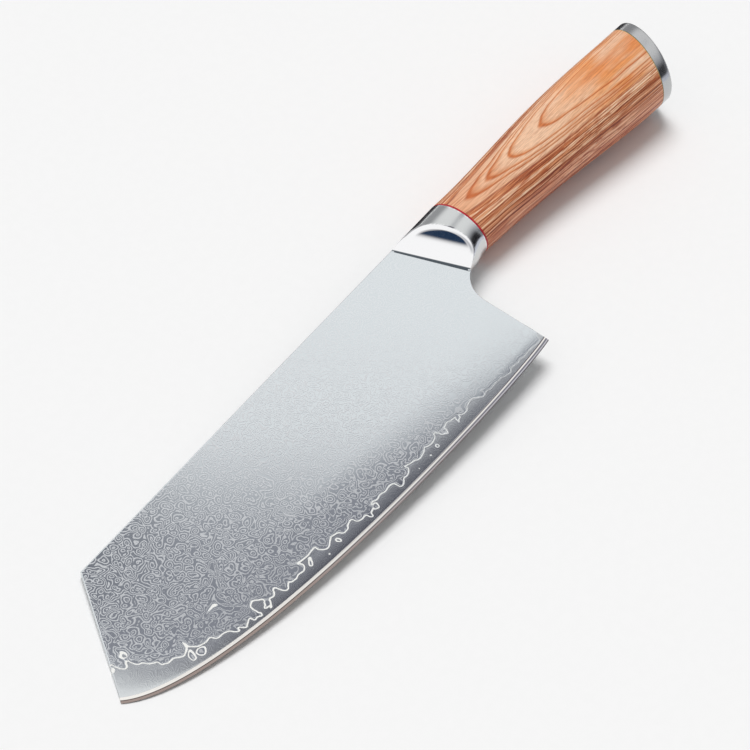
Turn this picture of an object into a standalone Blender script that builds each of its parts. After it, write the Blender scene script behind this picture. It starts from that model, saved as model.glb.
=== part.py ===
"""Kitchen knife with a tall blade that is clipped at the front, lying on its right side.

The blade has a hard core between two patterned claddings. A stub behind it sits in an oval steel bolster.
A tang runs on through a wooden grip to a nut, and a slanted steel cap closes the butt.

Knife frame: X runs from tip to butt and is zero at the heel, Y is zero on the spine and points up
from the edge, Z is zero in the blade's middle and points out of the left side.
Handle frame: its origin is the centre of the bolster's rear face, and its X droops with the grip.
"""

import math

import bmesh
import bpy
from mathutils import Matrix, Vector

# Blade outline
BLADE_LENGTH = 0.1781
HEEL_HEIGHT = 0.0590
TIP_HEIGHT = 0.0368
CLIP_RUN = 0.0285
EDGE_HEEL_ANGLE = math.radians(8.7)
EDGE_HEEL_REACH = 0.0151
EDGE_TIP_ANGLE = math.radians(49.0)
EDGE_TIP_REACH = 0.0335
HEEL_LEAN = math.radians(5.0)
CHOIL_RADIUS = 0.0125

# Blade thickness
SPINE_THICKNESS_REAR = 0.0022
SPINE_THICKNESS_FRONT = 0.0019
SHOULDER_THICKNESS = 0.0006
EDGE_THICKNESS = 0.00006
BEVEL_WIDTH = 0.0019

# Layers of the blade
CORE_THICKNESS = 0.0005
SEAM_HEIGHT_HEEL = 0.0010
SEAM_HEIGHT_MIDDLE = 0.0038
SEAM_HEEL_REACH = 0.0530
SEAM_TIP_REACH = 0.0250
SEAM_TIP_CLIMB = 0.0120
LONG_WAVE_RISE = 0.0015
LONG_WAVE_LENGTH = 0.0600
SHORT_WAVE_RISE = 0.0008
SHORT_WAVE_LENGTH = 0.0165

# Stub behind the blade
STUB_HEIGHT = 0.0140
STUB_LENGTH = 0.0090
STUB_THICKNESS = 0.0016
STUB_ROOT = 0.0030

# Bolster
BOLSTER_START = 0.0021
BOLSTER_FRONT_SLANT = math.radians(17.2)
BOLSTER_LENGTH = 0.0202
BOLSTER_STEP = 0.00025
NECK_FLARE = 0.0010
SCOOP_RADIUS = 0.0086

# Handle outline
GRIP_FRONT_HEIGHT = 0.0224
GRIP_FRONT_THICKNESS = 0.0164
GRIP_REAR_HEIGHT = 0.0293
GRIP_REAR_THICKNESS = 0.0242
GRIP_LENGTH = 0.0925
GRIP_SWELL_LENGTH = 0.0850
GRIP_BOW = 0.0009
GRIP_DROOP = math.radians(3.92)
BUTT_SLANT = math.radians(19.2)
LINER_THICKNESS = 0.0006
CAP_LENGTH = 0.0046
CAP_EDGE_RADIUS = 0.0007

# Inside the handle
TANG_HEIGHT = 0.0090
TANG_THICKNESS = 0.0016
TANG_BAR_LENGTH = 0.0600
TANG_ROD_DIAMETER = 0.0050
BORE_DIAMETER = 0.0112
COUNTERBORE_DIAMETER = 0.0142
COUNTERBORE_DEPTH = 0.0130
WASHER_DIAMETER = 0.0134
WASHER_THICKNESS = 0.0010
NUT_WIDTH = 0.0080
NUT_HEIGHT = 0.0040
PIN_DIAMETER = 0.0030
PIN_IN_CAP = 0.0028
PIN_IN_GRIP = 0.0080
PIN_WALL = 0.0028

# Clearances
BOND_GAP = 0.00002
SEAM_GAP = 0.00005
BED_GAP = 0.00025

# Fineness of the meshes
EDGE_STATIONS = 54
TIP_OVERRUN = 0.0018
OVAL_SIDES = 56
BOLSTER_STATIONS = 9
GRIP_STATIONS = 22
CAP_EDGE_STEPS = 4
CHOIL_STEPS = 10
ROUND_SIDES = 32
SCOOP_SIDES = 96
SMOOTH_ANGLE = math.radians(30.0)
SLOPE_STEP = 0.0001
WELD_DISTANCE = 0.0000001
SOLVE_ROUNDS = 6
OVERCUT = 0.0200

parts = bpy.data.collections.new("kitchen_knife")
helpers = bpy.data.collections.new("kitchen_knife_helpers")


def clear_scene():
    for old in list(bpy.data.objects):
        bpy.data.objects.remove(old, do_unlink=True)


def add_collections():
    for collection in (parts, helpers):
        bpy.context.scene.collection.children.link(collection)


def finish(name, colour, roughness, metallic):
    """A plain material of the given colour."""
    made = bpy.data.materials.new(name)
    made.use_nodes = True
    shader = made.node_tree.nodes["Principled BSDF"]
    shader.inputs["Base Color"].default_value = (*colour, 1.0)
    shader.inputs["Roughness"].default_value = roughness
    shader.inputs["Metallic"].default_value = metallic
    return made


def frame_empty(name, parent=None):
    empty = bpy.data.objects.new(name, None)
    empty.parent = parent
    parts.objects.link(empty)
    return empty


def part(name, mesh, parent, material):
    """A visible sub-part, smooth where its faces meet at small angles."""
    mesh.shade_smooth()
    mesh.set_sharp_from_angle(angle=SMOOTH_ANGLE)
    mesh.materials.append(material)
    made = bpy.data.objects.new(name, mesh)
    made.parent = parent
    parts.objects.link(made)
    return made


def helper(name, mesh, parent):
    """A solid that only cuts or joins, hidden in renders."""
    made = bpy.data.objects.new(name, mesh)
    made.parent = parent
    made.hide_render = True
    made.display_type = "WIRE"
    helpers.objects.link(made)
    return made


def combine(target, tool, operation):
    step = target.modifiers.new(tool.name, "BOOLEAN")
    step.operation = operation
    step.solver = "EXACT"
    step.object = tool


def mesh_of(name, build):
    """The mesh that build makes of a bmesh, with its faces pointing out."""
    shape = bmesh.new()
    build(shape)
    bmesh.ops.recalc_face_normals(shape, faces=shape.faces)
    mesh = bpy.data.meshes.new(name)
    shape.to_mesh(mesh)
    shape.free()
    return mesh


def loft(name, rings):
    """A closed mesh through rings of equally many points, with flat ends."""

    def build(shape):
        loops = [[shape.verts.new(point) for point in ring] for ring in rings]
        for near, far in zip(loops, loops[1:]):
            for i in range(len(near)):
                j = (i + 1) % len(near)
                shape.faces.new((near[i], near[j], far[j], far[i]))
        shape.faces.new(loops[0])
        shape.faces.new(loops[-1])

    return mesh_of(name, build)


def box(name, low, high):
    """A box between two opposite corners."""
    centre = (low + high) / 2
    size = high - low

    def build(shape):
        matrix = Matrix.Translation(centre) @ Matrix.Diagonal((*size, 1.0))
        bmesh.ops.create_cube(shape, size=1.0, matrix=matrix)

    return mesh_of(name, build)


def rod(name, start, end, radius, sides=ROUND_SIDES, y=0.0):
    """A cylinder along X, or a prism where it has few sides."""

    def build(shape):
        turn = Matrix.Rotation(math.pi / 2, 4, "Y")
        place = Matrix.Translation(((start + end) / 2, y, 0.0))
        bmesh.ops.create_cone(
            shape,
            cap_ends=True,
            segments=sides,
            radius1=radius,
            radius2=radius,
            depth=end - start,
            matrix=place @ turn,
        )

    return mesh_of(name, build)


def outline_solid(name, points, half_thickness):
    """A mesh of a flat outline in the XY plane, extruded to both sides."""
    curve = bpy.data.curves.new(name, "CURVE")
    curve.dimensions = "2D"
    curve.fill_mode = "BOTH"
    curve.extrude = half_thickness
    spline = curve.splines.new("POLY")
    spline.points.add(len(points) - 1)
    for place, (x, y) in zip(spline.points, points):
        place.co = (x, y, 0.0, 1.0)
    spline.use_cyclic_u = True
    carrier = bpy.data.objects.new(name, curve)
    bpy.context.scene.collection.objects.link(carrier)
    graph = bpy.context.evaluated_depsgraph_get()
    mesh = bpy.data.meshes.new_from_object(carrier.evaluated_get(graph))
    bpy.data.objects.remove(carrier, do_unlink=True)
    shape = bmesh.new()
    shape.from_mesh(mesh)
    bmesh.ops.remove_doubles(shape, verts=shape.verts, dist=WELD_DISTANCE)
    bmesh.ops.recalc_face_normals(shape, faces=shape.faces)
    shape.to_mesh(mesh)
    shape.free()
    return mesh


def blend(start, end, share):
    return start + (end - start) * share


def smooth_share(share):
    """A share from 0 to 1 that starts and ends level."""
    share = min(max(share, 0.0), 1.0)
    return share * share * (3.0 - 2.0 * share)


def edge_point(share):
    """The cutting edge at a share of its way from heel to tip, on one Bezier curve."""
    heel = Vector((0.0, -HEEL_HEIGHT))
    tip = Vector((-BLADE_LENGTH, -TIP_HEIGHT))
    heel_way = Vector((-math.cos(EDGE_HEEL_ANGLE), -math.sin(EDGE_HEEL_ANGLE)))
    tip_way = Vector((math.cos(EDGE_TIP_ANGLE), -math.sin(EDGE_TIP_ANGLE)))
    heel_handle = heel + heel_way * EDGE_HEEL_REACH
    tip_handle = tip + tip_way * EDGE_TIP_REACH
    if share < 0.0:
        return heel + heel_way * BLADE_LENGTH * share
    rest = 1.0 - share
    return (
        heel * rest**3
        + heel_handle * 3 * rest**2 * share
        + tip_handle * 3 * rest * share**2
        + tip * share**3
    )


def edge_slope(share):
    way = edge_point(share + SLOPE_STEP) - edge_point(share - SLOPE_STEP)
    return way.y / way.x


def seam_height(x):
    """How far above the edge the wavy line between core and cladding runs."""
    lowest = blend(SEAM_HEIGHT_HEEL, SEAM_HEIGHT_MIDDLE, smooth_share(-x / SEAM_HEEL_REACH))
    climb = SEAM_TIP_CLIMB * (1.0 - smooth_share((BLADE_LENGTH + x) / SEAM_TIP_REACH))
    long_wave = LONG_WAVE_RISE * (0.5 + 0.5 * math.sin(math.tau * x / LONG_WAVE_LENGTH))
    short_wave = SHORT_WAVE_RISE * (0.5 + 0.5 * math.sin(math.tau * x / SHORT_WAVE_LENGTH))
    return lowest + climb + long_wave + short_wave


class Station:
    """One cross-section of the blade: heights of its lines, and half thicknesses there."""

    def __init__(self, share):
        edge = edge_point(share)
        self.x = edge.x
        self.edge = edge.y
        self.shoulder = edge.y + BEVEL_WIDTH * math.hypot(1.0, edge_slope(share))
        along = min(max(-edge.x / BLADE_LENGTH, 0.0), 1.0)
        self.half_spine = blend(SPINE_THICKNESS_REAR, SPINE_THICKNESS_FRONT, along) / 2
        self.half_shoulder = SHOULDER_THICKNESS / 2
        self.half_core = CORE_THICKNESS / 2
        self.inside = self.half_core + BOND_GAP
        self.seam = self.shoulder + seam_height(self.x)

    def half_at(self, y):
        return blend(self.half_spine, self.half_shoulder, y / self.shoulder)


def blade_stations():
    """Stations from behind the heel to a little past the tip."""
    first = -(BOLSTER_START + BOLSTER_LENGTH) / BLADE_LENGTH
    last = 1.0 + TIP_OVERRUN / BLADE_LENGTH
    steps = EDGE_STATIONS - 1
    return [Station(blend(first, last, i / steps)) for i in range(EDGE_STATIONS)]


def core_ring(station):
    """The core's section: flat under the claddings, ground to the edge below them."""
    step = station.seam - SEAM_GAP
    side = (
        (0.0, station.half_core),
        (station.seam - SEAM_GAP / 2, station.half_core),
        (step - SEAM_GAP / 2, station.half_at(step)),
        (station.shoulder, station.half_shoulder),
        (station.edge, EDGE_THICKNESS / 2),
    )
    left = [Vector((station.x, y, z)) for y, z in side]
    right = [Vector((station.x, y, -z)) for y, z in reversed(side)]
    return left + right


def cladding_ring(station, side):
    """A cladding's section, from the spine to its feather edge, on one side."""
    corners = (
        (0.0, station.inside),
        (0.0, station.half_spine),
        (station.seam, station.half_at(station.seam)),
        (station.seam, station.inside),
    )
    return [Vector((station.x, y, side * z)) for y, z in corners]


def bolster_front_x(y):
    return BOLSTER_START - y * math.tan(BOLSTER_FRONT_SLANT)


def handle_start():
    """The centre of the bolster's rear face."""
    height = GRIP_FRONT_HEIGHT * math.cos(GRIP_DROOP)
    return Vector((BOLSTER_START + BOLSTER_LENGTH, -height / 2))


def handle_foot():
    """The lowest point of the bolster's rear face."""
    down = Vector((-math.sin(GRIP_DROOP), -math.cos(GRIP_DROOP)))
    return handle_start() + down * GRIP_FRONT_HEIGHT / 2


def heel_way():
    """The way up along the heel wall."""
    return Vector((math.sin(HEEL_LEAN), math.cos(HEEL_LEAN)))


def choil_centre():
    """The centre of the round choil, which touches the heel wall and the neck's lowest course."""
    up = heel_way()
    y = -GRIP_FRONT_HEIGHT - NECK_FLARE - CHOIL_RADIUS
    x = (CHOIL_RADIUS + (y + HEEL_HEIGHT) * up.x) / up.y
    return Vector((x, y))


def underside(x):
    """The lower side of neck and bolster: round at the choil, then rising to the handle."""
    centre = choil_centre()
    top = centre.y + CHOIL_RADIUS
    if x < centre.x:
        across = min(centre.x - x, CHOIL_RADIUS)
        return centre.y + math.sqrt(CHOIL_RADIUS**2 - across**2)
    end = handle_foot()
    return blend(top, end.y, smooth_share((x - centre.x) / (end.x - centre.x)))


def neck_foot():
    """Where the blade's neck meets the bolster on its underside."""
    y = -GRIP_FRONT_HEIGHT
    for _ in range(SOLVE_ROUNDS):
        y = underside(bolster_front_x(y))
    return Vector((bolster_front_x(y), y))


def choil_points():
    """The heel wall and the round choil, from below the heel to the bolster."""
    up = heel_way()
    centre = choil_centre()
    foot = neck_foot()
    start = math.atan2(up.x, -up.y)
    end = math.atan2(foot.y - centre.y, foot.x - centre.x)
    points = [tuple(Vector((0.0, -HEEL_HEIGHT)) - up * OVERCUT)]
    for i in range(CHOIL_STEPS + 1):
        angle = blend(start, end, i / CHOIL_STEPS)
        x = centre.x + CHOIL_RADIUS * math.cos(angle)
        y = centre.y + CHOIL_RADIUS * math.sin(angle)
        points.append((x, y))
    return points


def add_blade_cutters(root):
    """The solids that trim the blade's layers behind the heel and along the clipped front."""
    behind = OVERCUT + BOLSTER_LENGTH
    above = OVERCUT
    below = -HEEL_HEIGHT - OVERCUT
    rear = choil_points()
    top_x = bolster_front_x(above)
    rear += [(top_x, above), (behind * 2, above), (behind * 2, below)]
    rear_mesh = outline_solid("rear_cutter", rear, SPINE_THICKNESS_REAR)
    corner = Vector((CLIP_RUN - BLADE_LENGTH, 0.0))
    way = Vector((-CLIP_RUN, -TIP_HEIGHT)).normalized()
    high = corner - way * OVERCUT
    low = corner + way * (HEEL_HEIGHT + OVERCUT * 2)
    out = Vector((way.y, -way.x)) * (CLIP_RUN + OVERCUT)
    front = [tuple(high), tuple(low), tuple(low + out), tuple(high + out)]
    front_mesh = outline_solid("front_cutter", front, SPINE_THICKNESS_REAR)
    return helper("rear_cutter", rear_mesh, root), helper("front_cutter", front_mesh, root)


def stub_box(name, root, low_z, high_z):
    """One layer's share of the stub, from inside the blade to its end in the bolster."""
    middle = neck_foot().y / 2
    front = bolster_front_x(middle)
    low = Vector((front - STUB_ROOT, middle - STUB_HEIGHT / 2, low_z))
    high = Vector((front + STUB_LENGTH, middle + STUB_HEIGHT / 2, high_z))
    return helper(name, box(name, low, high), root)


def add_blade(root):
    stations = blade_stations()
    rear_cutter, front_cutter = add_blade_cutters(root)
    core_steel = finish("core_steel", (0.42, 0.43, 0.45), 0.32, 1.0)
    cladding_steel = finish("cladding_steel", (0.62, 0.65, 0.67), 0.38, 1.0)
    half_core = CORE_THICKNESS / 2
    half_stub = STUB_THICKNESS / 2
    inside = half_core + BOND_GAP
    core_mesh = loft("core_blade", [core_ring(station) for station in stations])
    core = part("core_blade", core_mesh, root, core_steel)
    layers = [(core, stub_box("core_stub", root, -half_core, half_core))]
    for name, side in (("cladding_left", 1), ("cladding_right", -1)):
        rings = [cladding_ring(station, side) for station in stations]
        layer = part(name, loft(name, rings), root, cladding_steel)
        low_z, high_z = sorted((side * inside, side * half_stub))
        layers.append((layer, stub_box(name + "_stub", root, low_z, high_z)))
    for layer, stub in layers:
        combine(layer, rear_cutter, "DIFFERENCE")
        combine(layer, front_cutter, "DIFFERENCE")
        combine(layer, stub, "UNION")


def oval(top, foot, half_thickness):
    """An oval ring whose height runs between two points of the knife's middle plane."""
    centre = (top + foot) / 2
    half = (top - foot) / 2
    ring = []
    for i in range(OVAL_SIDES):
        angle = math.tau * i / OVAL_SIDES
        point = centre + half * math.cos(angle)
        ring.append(Vector((*point, half_thickness * math.sin(angle))))
    return ring


def add_bolster(root):
    """An oval body, ground hollow on both sides and slotted for the stub and the tang."""
    steel = finish("bolster_steel", (0.80, 0.81, 0.82), 0.12, 1.0)
    rear_foot = handle_foot()
    rear_top = handle_start() * 2 - rear_foot
    front_foot = neck_foot()
    rings = []
    for i in range(BOLSTER_STATIONS):
        share = i / (BOLSTER_STATIONS - 1)
        top_x = blend(BOLSTER_START + SEAM_GAP, rear_top.x, share)
        foot_x = blend(front_foot.x + SEAM_GAP, rear_foot.x, share)
        foot = Vector((foot_x, underside(foot_x)))
        rings.append(oval(Vector((top_x, 0.0)), foot, GRIP_FRONT_THICKNESS / 2))
    bolster = part("bolster", loft("bolster", rings), root, steel)
    for name, side in (("scoop_left", 1), ("scoop_right", -1)):
        combine(bolster, scoop(name, side, root), "DIFFERENCE")
    slot_half = Vector((BOLSTER_LENGTH, STUB_HEIGHT / 2 + BED_GAP, STUB_THICKNESS / 2 + BED_GAP))
    slot_middle = Vector((BOLSTER_START + BOLSTER_LENGTH / 2, front_foot.y / 2, 0.0))
    slot_mesh = box("bolster_slot", slot_middle - slot_half, slot_middle + slot_half)
    combine(bolster, helper("bolster_slot", slot_mesh, root), "DIFFERENCE")


def scoop(name, side, root):
    """The round tool that grinds one side of the bolster, level with the front face."""
    lip = SPINE_THICKNESS_REAR / 2 + BOLSTER_STEP

    def build(shape):
        lie_down = Matrix.Rotation(math.pi / 2, 4, "X")
        swing = Matrix.Rotation(BOLSTER_FRONT_SLANT, 4, "Z")
        centre = Vector((bolster_front_x(0.0) + SEAM_GAP, 0.0, side * (lip + SCOOP_RADIUS)))
        bmesh.ops.create_cone(
            shape,
            cap_ends=True,
            segments=SCOOP_SIDES,
            radius1=SCOOP_RADIUS,
            radius2=SCOOP_RADIUS,
            depth=(HEEL_HEIGHT + OVERCUT) * 2,
            matrix=Matrix.Translation(centre) @ swing @ lie_down,
        )

    return helper(name, mesh_of(name, build), root)


def handle_section(x):
    """The handle's centre height, half height and half thickness at x in the handle frame."""
    share = smooth_share(x / GRIP_SWELL_LENGTH)
    half_height = blend(GRIP_FRONT_HEIGHT, GRIP_REAR_HEIGHT, share) / 2
    half_thickness = blend(GRIP_FRONT_THICKNESS, GRIP_REAR_THICKNESS, share) / 2
    bow = min(max(x / GRIP_LENGTH, 0.0), 1.0)
    return GRIP_BOW * math.sin(math.pi * bow) ** 2, half_height, half_thickness


def handle_ring(plane, slant, shrink=0.0):
    """A ring of the handle's skin on the plane x = plane + y * tan(slant)."""
    ring = []
    for i in range(OVAL_SIDES):
        angle = math.tau * i / OVAL_SIDES
        x = plane
        for _ in range(SOLVE_ROUNDS):
            centre, half_height, half_thickness = handle_section(x)
            y = centre + (half_height - shrink) * math.cos(angle)
            x = plane + y * math.tan(slant)
        ring.append(Vector((x, y, (half_thickness - shrink) * math.sin(angle))))
    return ring


def liner_rear():
    return SEAM_GAP + LINER_THICKNESS


def grip_front():
    return liner_rear() + SEAM_GAP


def grip_rear():
    return grip_front() + GRIP_LENGTH


def add_liner(axis):
    red = finish("red_liner", (0.55, 0.02, 0.03), 0.45, 0.0)
    rings = [handle_ring(x, 0.0) for x in (SEAM_GAP, liner_rear())]
    liner = part("front_liner", loft("front_liner", rings), axis, red)
    hole = rod("liner_hole", -OVERCUT, OVERCUT, BORE_DIAMETER / 2)
    combine(liner, helper("liner_hole", hole, axis), "DIFFERENCE")


def shoulder_x():
    """Where the grip's counterbore ends and the clamp washer sits."""
    return grip_rear() - COUNTERBORE_DEPTH


def pin_offset():
    """How far above or below the axis each cap pin lies."""
    return GRIP_REAR_HEIGHT / 2 - PIN_WALL - PIN_DIAMETER / 2


def pin_joint_x(y):
    """Where a line at height y meets the grip's slanted rear face."""
    return grip_rear() + y * math.tan(BUTT_SLANT)


def pin_names():
    return (("upper", pin_offset()), ("lower", -pin_offset()))


def add_grip(axis):
    """The wooden block: bored for the tang, counterbored for the nut, drilled for the cap pins."""
    wood = finish("grip_wood", (0.62, 0.33, 0.17), 0.45, 0.0)
    rings = []
    for i in range(GRIP_STATIONS):
        share = i / (GRIP_STATIONS - 1)
        slant = BUTT_SLANT * smooth_share(share)
        rings.append(handle_ring(blend(grip_front(), grip_rear(), share), slant))
    grip = part("grip", loft("grip", rings), axis, wood)
    bore = rod("grip_bore", -OVERCUT, grip_rear() + OVERCUT, BORE_DIAMETER / 2)
    combine(grip, helper("grip_bore", bore, axis), "DIFFERENCE")
    counter = rod(
        "grip_counterbore", shoulder_x(), grip_rear() + OVERCUT, COUNTERBORE_DIAMETER / 2
    )
    combine(grip, helper("grip_counterbore", counter, axis), "DIFFERENCE")
    for name, y in pin_names():
        joint = pin_joint_x(y)
        start = joint - PIN_IN_GRIP - BED_GAP
        radius = PIN_DIAMETER / 2 + BED_GAP
        hole = rod("grip_hole_" + name, start, joint + OVERCUT, radius, y=y)
        combine(grip, helper("grip_hole_" + name, hole, axis), "DIFFERENCE")


def add_cap(axis):
    """The slanted end cap, rounded at its rear edge and drilled for its pins."""
    steel = finish("cap_steel", (0.66, 0.67, 0.69), 0.25, 1.0)
    start = grip_rear() + SEAM_GAP / math.cos(BUTT_SLANT)
    end = start + CAP_LENGTH
    rings = [handle_ring(start, BUTT_SLANT)]
    for i in range(CAP_EDGE_STEPS + 1):
        angle = math.pi / 2 * i / CAP_EDGE_STEPS
        plane = end - CAP_EDGE_RADIUS * (1.0 - math.sin(angle))
        rings.append(handle_ring(plane, BUTT_SLANT, CAP_EDGE_RADIUS * (1.0 - math.cos(angle))))
    cap = part("end_cap", loft("end_cap", rings), axis, steel)
    for name, y in pin_names():
        joint = pin_joint_x(y)
        radius = PIN_DIAMETER / 2 + BED_GAP
        hole = rod("cap_hole_" + name, joint - OVERCUT, joint + PIN_IN_CAP + BED_GAP, radius, y=y)
        combine(cap, helper("cap_hole_" + name, hole, axis), "DIFFERENCE")


def add_cap_pins(axis):
    steel = finish("pin_steel", (0.50, 0.51, 0.53), 0.35, 1.0)
    for name, y in pin_names():
        joint = pin_joint_x(y)
        title = "cap_pin_" + name
        mesh = rod(title, joint - PIN_IN_GRIP, joint + PIN_IN_CAP, PIN_DIAMETER / 2, y=y)
        part(title, mesh, axis, steel)


def tang_front():
    """Where the tang's bar starts behind the stub, in the handle frame."""
    stub_end = bolster_front_x(neck_foot().y / 2) + STUB_LENGTH
    return stub_end + BED_GAP - handle_start().x + TANG_HEIGHT * math.tan(GRIP_DROOP)


def washer_front():
    return shoulder_x() + BED_GAP


def nut_front():
    return washer_front() + WASHER_THICKNESS + BED_GAP


def tang_rear():
    return nut_front() + NUT_HEIGHT + TANG_ROD_DIAMETER / 4


def add_tang(axis):
    """A flat bar that turns into a threaded rod."""
    steel = finish("tang_steel", (0.35, 0.36, 0.37), 0.45, 1.0)
    half = Vector((0.0, TANG_HEIGHT / 2, TANG_THICKNESS / 2))
    start = Vector((tang_front(), 0.0, 0.0))
    end = Vector((TANG_BAR_LENGTH, 0.0, 0.0))
    tang = part("tang", box("tang", start - half, end + half), axis, steel)
    rod_mesh = rod("tang_rod", TANG_BAR_LENGTH - TANG_HEIGHT, tang_rear(), TANG_ROD_DIAMETER / 2)
    combine(tang, helper("tang_rod", rod_mesh, axis), "UNION")


def add_bedding(axis):
    """The set adhesive that fills the bore round the tang."""
    resin = finish("bedding_resin", (0.55, 0.47, 0.30), 0.5, 0.0)
    start = grip_front()
    end = shoulder_x() - BED_GAP
    mesh = rod("bedding", start, end, BORE_DIAMETER / 2 - BED_GAP)
    bedding = part("bedding", mesh, axis, resin)
    half = Vector((0.0, TANG_HEIGHT / 2 + BED_GAP, TANG_THICKNESS / 2 + BED_GAP))
    low = Vector((start - OVERCUT, 0.0, 0.0)) - half
    high = Vector((TANG_BAR_LENGTH + BED_GAP, 0.0, 0.0)) + half
    bar_room = helper("bedding_bar_room", box("bedding_bar_room", low, high), axis)
    combine(bedding, bar_room, "DIFFERENCE")
    rod_start = TANG_BAR_LENGTH - TANG_HEIGHT - BED_GAP
    rod_mesh = rod("bedding_rod_room", rod_start, end + OVERCUT, TANG_ROD_DIAMETER / 2 + BED_GAP)
    combine(bedding, helper("bedding_rod_room", rod_mesh, axis), "DIFFERENCE")


def add_clamp(axis):
    """The washer and the nut that pull the handle together."""
    steel = finish("clamp_steel", (0.45, 0.46, 0.48), 0.35, 1.0)
    hole_start = washer_front() - OVERCUT
    hole_end = tang_rear() + OVERCUT
    hole_mesh = rod("clamp_hole", hole_start, hole_end, TANG_ROD_DIAMETER / 2 + BED_GAP)
    hole = helper("clamp_hole", hole_mesh, axis)
    washer_rear = washer_front() + WASHER_THICKNESS
    washer_mesh = rod("clamp_washer", washer_front(), washer_rear, WASHER_DIAMETER / 2)
    combine(part("clamp_washer", washer_mesh, axis, steel), hole, "DIFFERENCE")
    corner_radius = NUT_WIDTH / 2 / math.cos(math.pi / 6)
    nut_mesh = rod("clamp_nut", nut_front(), nut_front() + NUT_HEIGHT, corner_radius, sides=6)
    combine(part("clamp_nut", nut_mesh, axis, steel), hole, "DIFFERENCE")


def world_points():
    """Every corner of the finished parts, where they lie now."""
    bpy.context.view_layer.update()
    graph = bpy.context.evaluated_depsgraph_get()
    points = []
    for made in parts.objects:
        if made.type != "MESH":
            continue
        solid = made.evaluated_get(graph)
        points += [solid.matrix_world @ vert.co for vert in solid.data.vertices]
    return points


def lay_down(root):
    """Tilts the knife until blade and butt touch the table, with the origin under its middle."""
    for _ in range(SOLVE_ROUNDS):
        points = world_points()
        middle = (min(p.x for p in points) + max(p.x for p in points)) / 2
        front = min((p for p in points if p.x < middle), key=lambda p: p.z)
        rear = min((p for p in points if p.x > middle), key=lambda p: p.z)
        root.rotation_euler.y += math.atan2(rear.z - front.z, rear.x - front.x)
    points = world_points()
    low = Vector([min(p[i] for p in points) for i in range(3)])
    high = Vector([max(p[i] for p in points) for i in range(3)])
    root.location -= Vector(((low.x + high.x) / 2, (low.y + high.y) / 2, low.z))
    bpy.context.view_layer.update()


def main():
    clear_scene()
    add_collections()
    root = frame_empty("knife_root")
    axis = frame_empty("handle_axis", root)
    axis.location = handle_start().to_3d()
    axis.rotation_euler = (0.0, 0.0, -GRIP_DROOP)
    add_blade(root)
    add_bolster(root)
    add_liner(axis)
    add_grip(axis)
    add_cap(axis)
    add_cap_pins(axis)
    add_tang(axis)
    add_bedding(axis)
    add_clamp(axis)
    lay_down(root)


main()
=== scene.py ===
"""Looks of a kitchen knife with a tall blade that is clipped at the front, lying on its right side.

Knife frame: X runs from tip to butt and is zero at the heel, Y is zero on the spine and points up
from the edge, Z is zero in the blade's middle and points out of the left side.
Handle frame: its origin is the centre of the bolster's rear face, and its X droops with the grip.
Size fields are in millimetres, and meshes are in metres.
"""

import logging
import math
from collections.abc import Callable
from dataclasses import dataclass, field
from enum import Enum
from functools import cached_property

import bmesh
import bpy
import numpy as np
from mathutils import Matrix, Vector


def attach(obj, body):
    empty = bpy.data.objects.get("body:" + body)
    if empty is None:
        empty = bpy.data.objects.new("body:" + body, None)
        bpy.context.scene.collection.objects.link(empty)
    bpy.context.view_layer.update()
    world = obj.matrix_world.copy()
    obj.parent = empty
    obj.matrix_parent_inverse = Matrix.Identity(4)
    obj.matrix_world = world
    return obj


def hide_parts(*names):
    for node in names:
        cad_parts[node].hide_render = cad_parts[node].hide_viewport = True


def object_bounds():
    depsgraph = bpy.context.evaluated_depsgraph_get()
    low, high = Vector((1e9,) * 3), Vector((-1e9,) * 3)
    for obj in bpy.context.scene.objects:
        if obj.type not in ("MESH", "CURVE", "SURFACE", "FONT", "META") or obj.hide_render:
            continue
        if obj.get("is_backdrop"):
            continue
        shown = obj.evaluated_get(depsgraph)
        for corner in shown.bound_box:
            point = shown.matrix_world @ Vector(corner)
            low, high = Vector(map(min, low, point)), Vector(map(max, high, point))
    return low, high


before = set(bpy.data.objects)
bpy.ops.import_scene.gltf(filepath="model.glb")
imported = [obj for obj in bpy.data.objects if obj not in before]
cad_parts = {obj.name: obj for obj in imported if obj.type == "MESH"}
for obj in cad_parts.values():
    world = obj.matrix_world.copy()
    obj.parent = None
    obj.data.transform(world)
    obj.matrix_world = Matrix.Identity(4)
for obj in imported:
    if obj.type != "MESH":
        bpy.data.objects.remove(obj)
cad_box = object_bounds()

log = logging.getLogger("kitchen_knife")

MM = 0.001
SMOOTH_ANGLE = math.radians(30.0)
WELD_DISTANCE = 1e-7
SOLVE_ROUNDS = 60

# The result of a mix of colours is its output 2.
MIXED = 2
COLOURS = {"data_type": "RGBA"}
TINTS = COLOURS | {"blend_type": "MULTIPLY"}

TILT = math.radians(-2.4418)
KNIFE_PLACE = Matrix.Translation((0.026115, 0.030024, 0.007839)) @ Matrix.Rotation(TILT, 4, "Y")

Array = np.ndarray
Socket = bpy.types.NodeSocket
Material = bpy.types.Material
Object = bpy.types.Object
Stops = tuple[tuple[float, str], ...]
Triple = tuple[float, float, float]


def linear(hex_colour: str) -> tuple[float, float, float, float]:
    """Turns an sRGB hex colour into the linear values that a shader takes.

    Args:
        hex_colour: Six hex digits, such as "C8A070".

    Returns:
        Linear red, green and blue, and an alpha of one.
    """
    values = [int(hex_colour[i : i + 2], 16) / 255 for i in (0, 2, 4)]
    turned = [v / 12.92 if v <= 0.04045 else ((v + 0.055) / 1.055) ** 2.4 for v in values]
    return (turned[0], turned[1], turned[2], 1.0)


def smooth_share(share: Array | float) -> Array | float:
    """A share from 0 to 1 that starts and ends level."""
    share = np.clip(share, 0.0, 1.0)
    return share * share * (3.0 - 2.0 * share)


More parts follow.
